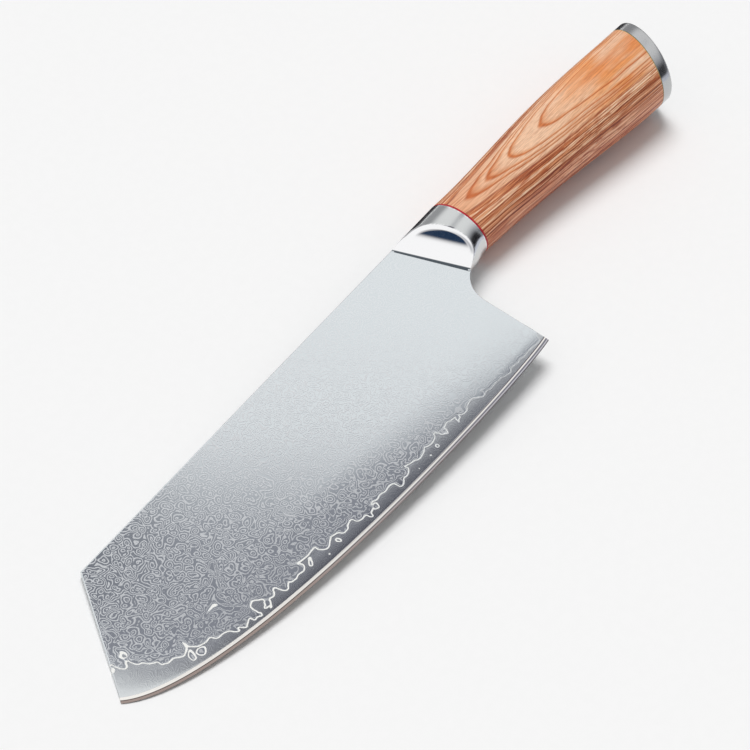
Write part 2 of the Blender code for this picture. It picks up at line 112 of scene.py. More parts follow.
def put(name: str, data: bpy.types.ID) -> Object:
    """Puts a mesh, lamp or camera into the scene.

    Args:
        name: The object's name.
        data: The mesh, lamp or camera.

    Returns:
        The object.
    """
    made = bpy.data.objects.new(name, data)
    bpy.context.scene.collection.objects.link(made)
    return made


def dress_solid(node: str, material: Material) -> None:
    """Gives its finish to a node that keeps its solid.

    Args:
        node: The node's name.
        material: Its finish.
    """
    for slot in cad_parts[node].material_slots:
        slot.material = material
    log.info("%s: dressed", node)


class Side(Enum):
    """The two sides of the blade."""

    LEFT = 1
    RIGHT = -1


class Nodes:
    """A node tree, which is added to node by node."""

    def __init__(self, tree: bpy.types.NodeTree) -> None:
        """Takes the tree to add to."""
        self.tree = tree

    def feed(self, socket: Socket, value: object) -> None:
        """Links a socket or sets it, and a text is a hex colour.

        Args:
            socket: The input to feed.
            value: A socket, a value or a hex colour.
        """
        if isinstance(value, Socket):
            self.tree.links.new(value, socket)
        else:
            socket.default_value = linear(value) if isinstance(value, str) else value

    def add(
        self,
        kind: str,
        inputs: dict[int | str, object] | tuple,
        out: int | str = 0,
        stops: Stops = (),
        **settings: object,
    ) -> Socket:
        """Adds one node with its settings and links.

        Args:
            kind: The node's type name without its "ShaderNode" start, and after a dot the
                operation of a node that has several.
            inputs: Values, hex colours or sockets for the node's inputs, in order or by name.
            out: The output to hand back, by index or name.
            stops: Places along a colour ramp, each with its hex colour.
            **settings: Other settings of the node.

        Returns:
            The chosen output.
        """
        kind, *operation = kind.split(".")
        node = self.tree.nodes.new("ShaderNode" + kind)
        settings |= {"operation": name for name in operation}
        for key, value in settings.items():
            setattr(node, key, value)
        for key, value in inputs.items() if isinstance(inputs, dict) else enumerate(inputs):
            self.feed(node.inputs[key], value)
        if stops:
            band = node.color_ramp.elements
            while len(band) < len(stops):
                band.new(1.0)
            for element, (place, shade) in zip(band, stops):
                element.position, element.color = place, linear(shade)
        return node.outputs[out]


class Shader(Nodes):
    """The node tree of one material, with its surface shader."""

    def __init__(self, name: str) -> None:
        """Starts a material of that name with one Principled BSDF.

        Args:
            name: The material's name.
        """
        self.material = bpy.data.materials.new(name)
        self.material.use_nodes = True
        super().__init__(self.material.node_tree)
        self.surface = self.tree.nodes["Principled BSDF"]

    def millimetres(self, place: Matrix) -> Socket:
        """Turns world metres into the millimetres of a frame.

        Args:
            place: Where the frame lies.

        Returns:
            The point that is shaded, in that frame.
        """
        point = self.add("TexCoord", (), "Object")
        inputs = (point, place.translation, place.to_euler(), (MM, MM, MM))
        return self.add("Mapping", inputs, vector_type="TEXTURE")

    def drawn_noise(
        self, place: Socket, scale: Triple, detail: float = 2.0, out: int | str = 0
    ) -> Socket:
        """Noise that is drawn out along some axes, as scratches and wood grain are.

        Args:
            place: The point to look at, in millimetres.
            scale: Waves per millimetre along each axis.
            detail: How many finer layers lie over the coarse one.
            out: The noise's output to hand back, by index or name.

        Returns:
            The noise.
        """
        drawn = self.add("Mapping", {0: place, 3: scale})
        return self.add("TexNoise", {"Vector": drawn, "Scale": 1.0, "Detail": detail}, out)

    def warped(self, place: Socket, noise: Socket, reach: float) -> Socket:
        """Shifts a point about.

        Args:
            place: The point.
            noise: The noise's colours, each of which shifts one axis.
            reach: The widest shift, from end to end.

        Returns:
            The shifted point.
        """
        shift = self.add("VectorMath.ADD", (noise, (-0.5, -0.5, -0.5)))
        shift = self.add("VectorMath.SCALE", {0: shift, "Scale": reach})
        return self.add("VectorMath.ADD", (place, shift))

    def dress(self, **sockets: object) -> Material:
        """Sets or links the surface shader's own sockets.

        Args:
            **sockets: What to feed each, by the input's name with underscores for spaces.

        Returns:
            The finished material.
        """
        for name, value in sockets.items():
            self.feed(self.surface.inputs[name.replace("_", " ")], value)
        return self.material


class Skin:
    """Patches of surface that become one closed mesh."""

    def __init__(self) -> None:
        """Starts with no patches."""
        self.points: list[Array] = []
        self.faces: list[tuple[int, ...]] = []
        self.values: dict[str, list[Array]] = {}
        self.count = 0

    def grid(self, points: Array, ring: bool = False, loop: bool = False, **values: Array) -> Array:
        """Adds a grid of quads.

        Args:
            points: Points in millimetres, by row, column and coordinate.
            ring: Whether the last column joins the first.
            loop: Whether the last row joins the first.
            **values: Named numbers for each point.

        Returns:
            The index of each point.
        """
        rows, columns = points.shape[:2]
        index = self.count + np.arange(rows * columns).reshape(rows, columns)
        self.points.append(points.reshape(-1, 3))
        for name, value in values.items():
            self.values.setdefault(name, []).append(np.asarray(value, float).reshape(-1))
        self.count += rows * columns
        down = np.roll(index, -1, 0) if loop else index[1:]
        near = index if loop else index[:-1]
        right = np.roll(near, -1, 1), np.roll(down, -1, 1)
        quads = np.stack([near, right[0], right[1], down], -1)
        if not ring:
            quads = quads[:, :-1]
        self.faces += [tuple(quad) for quad in quads.reshape(-1, 4).tolist()]
        return index

    def face(self, indices: Array) -> None:
        """Adds one face through points that are already there."""
        self.faces.append(tuple(int(i) for i in indices))

    def bridge(self, first: Array, second: Array) -> None:
        """Adds a strip of quads between two rows of points that are already there."""
        for i in range(len(first) - 1):
            self.face(np.array([first[i], first[i + 1], second[i + 1], second[i]]))

    def piece(self, name: str, place: Matrix, material: Material, weld: bool = False) -> Object:
        """Makes the object.

        Args:
            name: The object's name.
            place: Where the frame of the points lies.
            material: Its finish.
            weld: Whether points in one place are joined.

        Returns:
            The object, riding on the knife's body.
        """
        turn = np.array(place)
        points = np.concatenate(self.points) * MM @ turn[:3, :3].T + turn[:3, 3]
        mesh = bpy.data.meshes.new(name)
        mesh.from_pydata(points.tolist(), [], self.faces)
        for key, parts in self.values.items():
            layer = mesh.attributes.new(key, "FLOAT", "POINT")
            layer.data.foreach_set("value", np.concatenate(parts).astype(np.float32))
        shape = bmesh.new()
        shape.from_mesh(mesh)
        if weld:
            bmesh.ops.remove_doubles(shape, verts=shape.verts, dist=WELD_DISTANCE)
            bmesh.ops.dissolve_degenerate(shape, edges=shape.edges, dist=WELD_DISTANCE)
        bmesh.ops.recalc_face_normals(shape, faces=shape.faces)
        shape.to_mesh(mesh)
        shape.free()
        mesh.shade_smooth()
        mesh.set_sharp_from_angle(angle=SMOOTH_ANGLE)
        mesh.materials.append(material)
        made = put(name, mesh)
        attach(made, "root")
        log.info("%s: %d faces", name, len(mesh.polygons))
        return made


@dataclass(frozen=True)
class BladeForm:
    """Outline, thickness and lamination of the blade."""

    length: float = 178.1
    heel_height: float = 59.0
    tip_height: float = 36.8
    clip_run: float = 28.5
    heel_angle: float = math.radians(8.7)
    heel_reach: float = 15.1
    tip_angle: float = math.radians(49.0)
    tip_reach: float = 33.5
    heel_lean: float = math.radians(5.0)
    choil_radius: float = 12.5
    neck_height: float = 23.4
    front_start: float = 2.1
    front_slant: float = math.radians(17.2)
    spine_rear: float = 2.2
    spine_front: float = 1.9
    shoulder_thickness: float = 0.6
    edge_thickness: float = 0.06
    bevel: float = 1.9
    seam_low: float = 1.0
    seam_climb: float = 2.8
    seam_run: float = 53.0
    tip_climb: float = 12.0
    tip_run: float = 25.0
    waves: tuple[tuple[float, float], ...] = ((1.5, 60.0), (0.8, 16.5))
    sunk: float = 1.5
    rim_radius: float = 0.22
    rim_steps: tuple[float, ...] = (0.0, 0.06, 0.25, 0.6, 1.0)
    rim_most: float = 0.6
    mean_length: float = 140.0
    table_steps: int = 2000

    @cached_property
    def edge_table(self) -> tuple[Array, Array, Array]:
        """Places, heights and slopes along the cutting edge, from tip to heel.

        Returns:
            The x, the heights and the slopes.
        """
        share = np.linspace(1.0, 0.0, self.table_steps)[:, None]
        heel = np.array([0.0, -self.heel_height])
        tip = np.array([-self.length, -self.tip_height])
        heel_way = np.array([-math.cos(self.heel_angle), -math.sin(self.heel_angle)])
        tip_way = np.array([math.cos(self.tip_angle), -math.sin(self.tip_angle)])
        rest = 1.0 - share
        points = (
            heel * rest**3
            + (heel + heel_way * self.heel_reach) * 3 * rest**2 * share
            + (tip + tip_way * self.tip_reach) * 3 * rest * share**2
            + tip * share**3
        )
        slopes = np.gradient(points[:, 1], points[:, 0])
        return points[:, 0], points[:, 1], slopes

    def edge(self, x: Array) -> Array:
        """Height of the cutting edge, carried on straight past heel and tip.

        Args:
            x: Places along the blade.

        Returns:
            The edge's height at each.
        """
        places, heights, slopes = self.edge_table
        inside = np.interp(x, places, heights)
        ahead = np.maximum(x - places[-1], 0.0) * slopes[-1]
        behind = np.minimum(x - places[0], 0.0) * slopes[0]
        return inside + ahead + behind

    def slope(self, x: Array) -> Array:
        """Slope of the cutting edge."""
        return np.interp(x, self.edge_table[0], self.edge_table[2])

    def shoulder(self, x: Array) -> Array:
        """Height of the upper border of the sharpened bevel."""
        return self.edge(x) + self.bevel * np.hypot(1.0, self.slope(x))

    def seam(self, x: Array) -> Array:
        """Mean height of the wavy line between core and cladding.

        Args:
            x: Places along the blade.

        Returns:
            The line's height at each.
        """
        height = self.shoulder(x) + self.seam_low
        height += self.seam_climb * smooth_share(-x / self.seam_run)
        height += self.tip_climb * (1.0 - smooth_share((self.length + x) / self.tip_run))
        for swing, period in self.waves:
            height += swing * (0.5 + 0.5 * np.sin(math.tau * x / period))
        return height

    @cached_property
    def choil_centre(self) -> tuple[float, float]:
        """Centre of the round notch behind the heel.

        Returns:
            Its x and y.
        """
        y = -self.neck_height - self.choil_radius
        lean = self.heel_lean
        x = (self.choil_radius + (y + self.heel_height) * math.sin(lean)) / math.cos(lean)
        return x, y

    @cached_property
    def neck_foot(self) -> tuple[float, float]:
        """Where the neck's underside meets the bolster.

        Returns:
            The point's x and y.
        """
        x, y = self.choil_centre
        foot = -self.neck_height
        for _ in range(SOLVE_ROUNDS):
            across = x - self.bolster_x(foot)
            foot = y + math.sqrt(self.choil_radius**2 - across**2)
        return self.bolster_x(foot), foot

    def bolster_x(self, y: Array | float) -> Array | float:
        """The bolster's slanted front plane at a height."""
        return self.front_start - y * math.tan(self.front_slant)

    def front_x(self, y: Array) -> Array:
        """The clipped front at a height."""
        return self.clip_run - self.length + y * self.clip_run / self.tip_height

    def rear_x(self, y: Array) -> Array:
        """The heel wall, the choil or the hidden end in the bolster, at a height.

        Args:
            y: Heights.

        Returns:
            The blade's rear border at each.
        """
        x, centre_y = self.choil_centre
        reach = np.clip(self.choil_radius**2 - (y - centre_y) ** 2, 0.0, None)
        wall = (y + self.heel_height) * math.tan(self.heel_lean)
        touch = centre_y + self.choil_radius * math.sin(self.heel_lean)
        visible = np.where(y > touch, x - np.sqrt(reach), wall)
        foot = self.neck_foot[1]
        hidden = self.bolster_x(y) + self.sunk * smooth_share((y - foot) / self.sunk)
        return np.where(y > foot, hidden, visible)

    def rim_distance(self, x: Array, y: Array) -> Array:
        """Distance from a point to the nearest of spine, clipped front, choil and heel wall.

        Args:
            x: The points' x.
            y: The points' y.

        Returns:
            The distances, never below zero.
        """
        centre_x, centre_y = self.choil_centre
        lean = math.atan2(self.clip_run, self.tip_height)
        front = (x - self.front_x(y)) * math.cos(lean)
        choil = np.hypot(x - centre_x, y - centre_y) - self.choil_radius
        wall = (self.rear_x(y) - x) * math.cos(self.heel_lean)
        touch = centre_y + self.choil_radius * math.sin(self.heel_lean)
        rear = np.where(y > touch, choil, wall)
        rear = np.where(y > self.neck_foot[1], self.length, rear)
        return np.clip(np.minimum(np.minimum(-y, front), rear), 0.0, None)

    def half(self, x: Array, y: Array) -> Array:
        """Half thickness of the ground blade, without its rounded rims.

        Args:
            x: The points' x.
            y: The points' y.

        Returns:
            The half thickness at each.
        """
        along = np.clip(-x / self.length, 0.0, 1.0)
        spine = (self.spine_rear + (self.spine_front - self.spine_rear) * along) / 2
        shoulder, edge = self.shoulder(x), self.edge(x)
        top, low = self.shoulder_thickness / 2, self.edge_thickness / 2
        upper = spine + (top - spine) * np.clip(y / shoulder, 0.0, 1.0)
        lower = low + (top - low) * np.clip((y - edge) / (shoulder - edge), 0.0, 1.0)
        return np.where(y < shoulder, lower, upper)

    def rounded_half(self, x: Array, y: Array) -> Array:
        """Half thickness with the rims rounded.

        Args:
            x: The points' x.
            y: The points' y.

        Returns:
            The half thickness at each.
        """
        half = self.half(x, y)
        radius = np.minimum(self.rim_radius, half * self.rim_most)
        near = np.clip(1.0 - self.rim_distance(x, y) / radius, 0.0, 1.0)
        return half - radius * (1.0 - np.sqrt(1.0 - near**2))

    def row(self, height: Callable[[Array], Array], shares: Array) -> Array:
        """Points along one line of the blade, from the rear border to the front one.

        Args:
            height: The line's height at each x.
            shares: Shares of the way from rear to front.

        Returns:
            The points' x and y.
        """
        y = height(-self.length * shares)
        for _ in range(SOLVE_ROUNDS):
            x = self.rear_x(y) * (1.0 - shares) + self.front_x(y) * shares
            y = (y + height(x)) / 2
        return np.stack([x, y], -1)

    def shares(self, columns: int) -> Array:
        """Shares from rear to front, closer together at the rounded rims.

        Args:
            columns: How many shares lie between the rims.

        Returns:
            The shares, from 0 to 1.
        """
        rim = np.array(self.rim_steps) * self.rim_radius / self.mean_length
        inner = np.linspace(rim[-1] * 2, 1.0 - rim[-1] * 2, columns)
        return np.concatenate([rim, inner, 1.0 - rim[::-1]])

    def lines(self, flat: Array) -> dict[str, Array]:
        """The two distances that the blade's finishes are drawn by.

        Args:
            flat: Points' x and y in the last axis.

        Returns:
            Millimetres above the cutting edge and above the lamination line.
        """
        x, y = flat[..., 0], flat[..., 1]
        square = 1.0 / np.hypot(1.0, self.slope(x))
        above_edge, above_seam = (y - self.edge(x)) * square, (y - self.seam(x)) * square
        return {"above_edge": above_edge, "above_seam": above_seam}


@dataclass
class Blade:
    """Hard core with its bevel, and a patterned cladding on each side."""

    form: BladeForm = field(default_factory=BladeForm)
    core_half: float = 0.25
    bond_gap: float = 0.02
    seam_gap: float = 0.05
    facet_share: float = 0.55
    facet_bulge: float = 0.02
    ridge_half: float = 0.03
    facet_rows: tuple[float, float] = (0.3, 0.8)
    strip_start: float = 0.12
    columns: int = 400
    rows: int = 56
    strip_rows: int = 6

    def cladding(self, side: Side, material: Material) -> None:
        """Builds one cladding, from its feather edge on the seam up to the rounded spine.

        Args:
            side: Which side of the blade it covers.
            material: Its finish.
        """
        form = self.form
        shares = form.shares(self.columns)
        rim = np.array(form.rim_steps[::-1]) * form.rim_radius
        flat = [
            form.row(lambda x, v=v: form.seam(x) * (1 - v) - rim[0] * 2 * v, shares)
            for v in np.linspace(0.0, 1.0, self.rows)
        ]
        flat += [form.row(lambda x, d=d: np.full_like(x, -d), shares) for d in rim]
        flat = np.stack(flat)
        outer_z = form.rounded_half(flat[..., 0], flat[..., 1])
        inner_z = np.full_like(outer_z, self.core_half + self.bond_gap)
        outer_z = np.maximum(outer_z, inner_z + self.bond_gap)
        lines = form.lines(flat)
        skin = Skin()
        outer = skin.grid(np.dstack([flat, outer_z * side.value]), **lines)
        ends = [0, -1]
        low = {key: value[ends] for key, value in lines.items()}
        inner = skin.grid(np.dstack([flat[ends], inner_z[ends] * side.value]), **low)
        for row in ends:
            skin.bridge(outer[row], inner[row])
        for column in ends:
            skin.face(np.concatenate([outer[:, column], inner[::-1, column]]))
        made = skin.piece("cladding_" + side.name.lower(), KNIFE_PLACE, material)
        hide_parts(made.name.split(".")[0])

    def core(self, material: Material) -> None:
        """Builds the core: a plate under the claddings, ground to a two-faceted edge below them.

        Args:
            material: Its finish.
        """
        form = self.form
        shares = form.shares(self.columns)
        ridge = self.facet_share
        low, high = self.facet_rows
        share_rows = (0.0, low, ridge - self.ridge_half, ridge + self.ridge_half, high, 1.0)
        flat, half = [], []
        for v in share_rows:
            row = form.row(lambda x, v=v: form.edge(x) * (1 - v) + form.shoulder(x) * v, shares)
            bulge = self.facet_bulge * min(v / ridge, (1 - v) / (1 - ridge))
            flat.append(row)
            half.append(form.rounded_half(row[:, 0], row[:, 1]) + bulge)
        for v in np.linspace(self.strip_start, 1.0, self.strip_rows):
            row = form.row(
                lambda x, v=v: form.shoulder(x) * (1 - v) + (form.seam(x) - self.seam_gap) * v,
                shares,
            )
            flat.append(row)
            half.append(form.rounded_half(row[:, 0], row[:, 1]))
        flat.append(flat[-1] + np.array([0.0, self.seam_gap / 2]))
        flat.append(form.row(np.zeros_like, shares))
        half += [np.full(len(shares), self.core_half)] * 2
        flat, half = np.stack(flat), np.stack(half)
        lines = form.lines(flat)
        skin = Skin()
        left = skin.grid(np.dstack([flat, half]), **lines)
        right = skin.grid(np.dstack([flat, -half]), **lines)
        for first, second in ((left, right), (left.T, right.T)):
            for end in (0, -1):
                skin.bridge(first[end], second[end])
        made = skin.piece("core_blade", KNIFE_PLACE, material)
        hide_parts("core_blade")


@dataclass(frozen=True)
class HandleForm:
    """The oval handle behind the bolster."""

    start_x: float = 22.3
    front_height: float = 22.4
    front_thickness: float = 16.4
    rear_height: float = 29.3
    rear_thickness: float = 24.2
    length: float = 92.5
    swell_length: float = 85.0
    bow: float = 0.9
    droop: float = math.radians(3.92)
    butt_slant: float = math.radians(19.2)
    sides: int = 240

    @property
    def start(self) -> tuple[float, float]:
        """Centre of the bolster's rear face in the knife frame."""
        return self.start_x, -self.front_height * math.cos(self.droop) / 2

    @property
    def place(self) -> Matrix:
        """Where the handle frame lies in the world.

        Returns:
            The frame's matrix.
        """
        x, y = self.start
        shift = Matrix.Translation((x * MM, y * MM, 0.0))
        return KNIFE_PLACE @ shift @ Matrix.Rotation(-self.droop, 4, "Z")

    def section(self, x: Array) -> tuple[Array, Array, Array]:
        """Centre height, half height and half thickness along the handle.

        Args:
            x: Places along the handle.

        Returns:
            The three sizes at each.
        """
        share = smooth_share(x / self.swell_length)
        half_height = (self.front_height + (self.rear_height - self.front_height) * share) / 2
        grown = (self.rear_thickness - self.front_thickness) * share
        along = np.clip(x / self.length, 0.0, 1.0)
        centre = self.bow * np.sin(math.pi * along) ** 2
        return centre, half_height, (self.front_thickness + grown) / 2

    def ring(self, plane: float, slant: float = 0.0, shrink: float = 0.0) -> Array:
        """One ring of the handle's skin on a slanted plane.

        Args:
            plane: Where the plane crosses the axis.
            slant: How far the plane leans back at the top.
            shrink: How far the ring lies under the skin.

        Returns:
            The ring's points.
        """
        angle = math.tau * np.arange(self.sides) / self.sides
        x = np.full(self.sides, plane)
        for _ in range(SOLVE_ROUNDS // 4):
            centre, half_height, half_thickness = self.section(x)
            y = centre + (half_height - shrink) * np.cos(angle)
            x = plane + y * math.tan(slant)
        return np.stack([x, y, (half_thickness - shrink) * np.sin(angle)], -1)

    def bore_ring(self, plane: float, radius: float, slant: float = 0.0) -> Array:
        """A ring of the bore that the tang lies in.

        Args:
            plane: Where the ring's plane crosses the axis.
            radius: The bore's radius.
            slant: How far the plane leans back at the top.

        Returns:
            The ring's points.
        """
        angle = math.tau * np.arange(self.sides) / self.sides
        y, z = radius * np.cos(angle), radius * np.sin(angle)
        return np.stack([plane + y * math.tan(slant), y, z], -1)


@dataclass
class Handle:
    """Red liner, wooden grip and slanted steel cap."""

    form: HandleForm = field(default_factory=HandleForm)
    seam_gap: float = 0.05
    liner_thickness: float = 0.6
    cap_length: float = 4.6
    cap_radius: float = 0.7
    break_edge: float = 0.06
    bore_radius: float = 5.6
    counterbore_radius: float = 7.1
    counterbore_depth: float = 13.0
    grip_rings: int = 90
    cap_edge_steps: int = 8

    def liner(self, material: Material) -> None:
        """Builds the thin red sheet between bolster and grip.

        Args:
            material: Its finish.
        """
        form, soft = self.form, self.break_edge / 2
        near, far = self.seam_gap, self.seam_gap + self.liner_thickness
        rings = [
            form.ring(near, shrink=soft),
            form.ring(near + soft),
            form.ring(far - soft),
            form.ring(far, shrink=soft),
            form.bore_ring(far, self.bore_radius),
            form.bore_ring(near, self.bore_radius),
        ]
        skin = Skin()
        skin.grid(np.stack(rings), ring=True, loop=True)
        made = skin.piece("front_liner", form.place, material)
        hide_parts("front_liner")

    def grip(self, material: Material) -> None:
        """Builds the wooden block, bored for the tang and counterbored for its nut.

        Args:
            material: Its finish.
        """
        form, soft = self.form, self.break_edge
        front = self.seam_gap * 2 + self.liner_thickness
        rear = front + form.length
        rings = [form.ring(front, shrink=soft), form.ring(front + soft / 2, shrink=soft / 3)]
        for share in np.linspace(0.0, 1.0, self.grip_rings):
            plane = front + soft + (form.length - 2 * soft) * share
            rings.append(form.ring(plane, form.butt_slant * float(smooth_share(share))))
        rings.append(form.ring(rear, form.butt_slant, shrink=soft))
        step = rear - self.counterbore_depth
        rings += [
            form.bore_ring(rear, self.counterbore_radius, form.butt_slant),
            form.bore_ring(step, self.counterbore_radius),
            form.bore_ring(step, self.bore_radius),
            form.bore_ring(front, self.bore_radius),
        ]
        skin = Skin()
        skin.grid(np.stack(rings), ring=True, loop=True)
        made = skin.piece("grip", form.place, material)
        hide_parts("grip")

    def cap(self, material: Material) -> None:
        """Builds the steel cap with its rounded rear edge.

        Args:
            material: Its finish.
        """
        form, slant, soft = self.form, self.form.butt_slant, self.break_edge
        rear = self.seam_gap * 2 + self.liner_thickness + form.length
        start = rear + self.seam_gap / math.cos(slant)
        end = start + self.cap_length
        rings = [form.ring(start, slant, soft), form.ring(start + soft, slant)]
        for plane in np.linspace(start + soft * 3, end - self.cap_radius, 4)[:-1]:
            rings.append(form.ring(plane, slant))
        for turn in np.linspace(0.0, math.pi / 2, self.cap_edge_steps + 1):
            back = self.cap_radius * (1.0 - math.sin(turn))
            rings.append(form.ring(end - back, slant, self.cap_radius * (1.0 - math.cos(turn))))
        skin = Skin()
        index = skin.grid(np.stack(rings), ring=True)
        skin.face(index[0])
        skin.face(index[-1])
        made = skin.piece("end_cap", form.place, material)
        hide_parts("end_cap")


@dataclass
class Bolster:
    """Oval steel body behind the blade, ground hollow on both sides."""

    blade: BladeForm = field(default_factory=BladeForm)
    handle: HandleForm = field(default_factory=HandleForm)
    scoop_depth: float = 9.0
    scoop_rise: float = 14.0
    step: float = 0.25
    seam_gap: float = 0.05
    rim_radius: float = 1.25
    rim_growth: float = 0.35
    rim_lead: float = 1.1
    rim_flat: float = 0.15
    rim_ease: float = 0.25
    mean_length: float = 20.0
    far_behind: float = 10.0
    fillet_steps: int = 14
    quarter_steps: int = 44
    lip_steps: int = 4
    length_steps: int = 14
    scoop_steps: int = 30

    @property
    def half_thickness(self) -> float:
        """Half the bolster's thickness."""
        return self.handle.front_thickness / 2

    @property
    def lip(self) -> float:
        """Half width of the flat strip round the blade."""
        return self.blade.spine_rear / 2 + self.step

    @property
    def lip_angle(self) -> float:
        """Where round the oval that strip ends."""
        return math.asin(self.lip / self.half_thickness)

    @property
    def front(self) -> float:
        """Where the front plane crosses the spine."""
        return self.blade.front_start + self.seam_gap

    def underside(self, x: Array) -> Array:
        """Height of the bolster's lowest line.

        Args:
            x: Places along the bolster.

        Returns:
            The line's height at each.
        """
        blade, handle = self.blade, self.handle
        centre_x, centre_y = blade.choil_centre
        across = np.clip(centre_x - x, 0.0, blade.choil_radius)
        front = centre_y + np.sqrt(blade.choil_radius**2 - across**2)
        end = self.rear_foot
        share = smooth_share((x - centre_x) / (end[0] - centre_x))
        top = centre_y + blade.choil_radius
        return np.where(x < centre_x, front, top + (end[1] - top) * share)

    @property
    def rear_foot(self) -> tuple[float, float]:
        """Lowest point of the rear face.

        Returns:
            Its x and y.
        """
        x, y = self.handle.start
        half = self.handle.front_height / 2
        return x - math.sin(self.handle.droop) * half, y - math.cos(self.handle.droop) * half

    def outer(self, share: Array, angle: Array) -> Array:
        """Points of the oval outside.

        Args:
            share: Shares of the way from the front plane to the rear face.
            angle: Angles round the oval, from the top through the left side.

        Returns:
            The points.
        """
        share, angle = np.broadcast_arrays(share, angle)
        start = self.handle.start
        foot = self.rear_foot
        top_end = 2 * start[0] - foot[0]
        top_x = self.front + (top_end - self.front) * share
        low = self.blade.neck_foot[0] + self.seam_gap
        foot_x = low + (foot[0] - low) * share
        foot_y = self.underside(foot_x)
        x = (top_x + foot_x) / 2 + (top_x - foot_x) / 2 * np.cos(angle)
        y = foot_y / 2 - foot_y / 2 * np.cos(angle)
        return np.stack([x, y, self.half_thickness * np.sin(angle)], -1)

    def depth(self, points: Array) -> Array:
        """How far points lie behind the front plane.

        Args:
            points: The points.

        Returns:
            The distance of each.
        """
        slant = self.blade.front_slant
        x = points[..., 0] - self.front
        return x * math.cos(slant) + points[..., 1] * math.sin(slant)

    def along(self, points: Array) -> Array:
        """How far up the front plane points lie.

        Args:
            points: The points.

        Returns:
            The distance of each.
        """
        slant = self.blade.front_slant
        x = points[..., 0] - self.front
        return points[..., 1] * math.cos(slant) - x * math.sin(slant)

    def scoop(self, z: Array) -> Array:
        """Depth of the ground hollow."""
        across = np.clip((self.lip + self.scoop_rise - z) / self.scoop_rise, 0.0, 1.0)
        return self.scoop_depth * np.sqrt(1.0 - across**2)

    def on_scoop(self, along: Array, z: Array) -> Array:
        """Points of the ground hollow.

        Args:
            along: How far up the front plane they lie.
            z: How far out of the left side they lie.

        Returns:
            The points.
        """
        slant = self.blade.front_slant
        depth = self.scoop(z)
        x = self.front + depth * math.cos(slant) - along * math.sin(slant)
        y = depth * math.sin(slant) + along * math.cos(slant)
        return np.stack([x, y, z + 0.0 * depth], -1)

    def rim_share(self, angle: Array) -> Array:
        """Where the oval outside meets the hollow, as a share of the bolster's length.

        Args:
            angle: Angles round the oval.

        Returns:
            The share at each, from 0 to 1.
        """
        z = self.half_thickness * np.sin(angle)
        wanted = np.where(z > self.lip, self.scoop(z), 0.0)
        low, high = np.zeros_like(angle), np.ones_like(angle)
        for _ in range(SOLVE_ROUNDS):
            middle = (low + high) / 2
            short = self.depth(self.outer(middle, angle)) < wanted
            low, high = np.where(short, middle, low), np.where(short, high, middle)
        return (low + high) / 2

    def half_skin(self, skin: Skin, side: Side) -> None:
        """Adds the patches of one side.

        Args:
            skin: The mesh to add to.
            side: Which side of the middle plane.
        """
        quarter = np.linspace(self.lip_angle, math.pi / 2, self.quarter_steps + 1)
        ground = np.concatenate([quarter, math.pi - quarter[-2::-1]])
        lip = np.linspace(0.0, self.lip_angle, self.lip_steps + 1)
        share = self.rim_share(ground)
        share[0] = share[-1] = 0.0
        rim = self.outer(share, ground)
        ease = smooth_share((ground - self.lip_angle) / self.rim_ease)
        ease = ease * smooth_share((math.pi - self.lip_angle - ground) / self.rim_ease)
        radius = ease * (self.rim_radius + self.rim_growth * np.cos(ground))
        back = share + radius / self.mean_length
        behind = self.outer(back, ground)
        inside = self.fillet_start(rim, radius * self.rim_lead)
        steps = np.linspace(0.0, 1.0, self.fillet_steps + 1)[:, None, None]
        round_off = inside * (1 - steps) ** 2 + rim * 2 * steps * (1 - steps) + behind * steps**2
        flat = inside * (1 - steps) + behind * steps
        fillet = round_off * (1 - self.rim_flat) + flat * self.rim_flat
        turn = np.array([1.0, 1.0, side.value])

        def patch(points: Array, outside: float) -> None:
            """Adds one patch, either outside or in the hollow."""
            behind = self.depth(points) + self.far_behind * outside
            skin.grid(points * turn, outside=np.full(points.shape[:2], outside), behind=behind)

        patch(fillet, 0.0)
        ways = np.linspace(0.0, 1.0, self.length_steps)[:, None]
        patch(self.outer(back + (1 - back) * ways, ground[None]), 1.0)
        low_lip = math.pi - lip[::-1]
        for part in (lip, low_lip):
            patch(self.outer(ways, part[None]), 1.0)
        top = inside[: self.quarter_steps + 1]
        bottom = inside[::-1][: self.quarter_steps + 1]
        ways = np.linspace(0.0, 1.0, self.scoop_steps)[None, :]
        along = self.along(top)[:, None] * (1 - ways) + self.along(bottom)[:, None] * ways
        z = top[:, 2][:, None] * (1 - ways) + bottom[:, 2][:, None] * ways
        patch(self.on_scoop(along, z), 0.0)
        front = np.concatenate([lip, low_lip])
        rear = np.concatenate([lip, ground[1:-1], low_lip])
        for end, angles, columns in ((0.0, front, self.scoop_steps), (1.0, rear, 2)):
            ring = self.outer(np.full_like(angles, end), angles)
            half = (len(ring) + 1) // 2
            steps = np.linspace(0.0, 1.0, columns)[None, :, None]
            patch(ring[:half, None] * (1 - steps) + ring[::-1][:half, None] * steps, 0.0)

    def fillet_start(self, rim: Array, radius: Array) -> Array:
        """Where the rounding of the rim leaves the hollow.

        Args:
            rim: Points of the sharp rim.
            radius: How far from it the rounding starts, at each point.

        Returns:
            Points on the hollow.
        """
        along, z, depth = self.along(rim), rim[:, 2], self.depth(rim)
        local = np.stack([depth, along, z], -1)
        tangent = np.gradient(local, axis=0)
        centre_z = self.lip + self.scoop_rise
        steep = (self.scoop_rise / self.scoop_depth) ** 2
        normal = np.stack([-depth * steep, np.zeros_like(depth), centre_z - z], -1)
        inward = np.cross(normal, tangent)
        inward /= np.linalg.norm(inward, axis=1)[:, None]
        middle = np.array([0.0, (along[0] + along[-1]) / 2, self.lip])
        inward *= np.sign(np.sum(inward * (middle - local), axis=1))[:, None]
        moved = local + inward * radius[:, None]
        started = self.on_scoop(moved[:, 1], np.maximum(moved[:, 2], self.lip))
        return np.where((radius > 0.0)[:, None], started, rim)

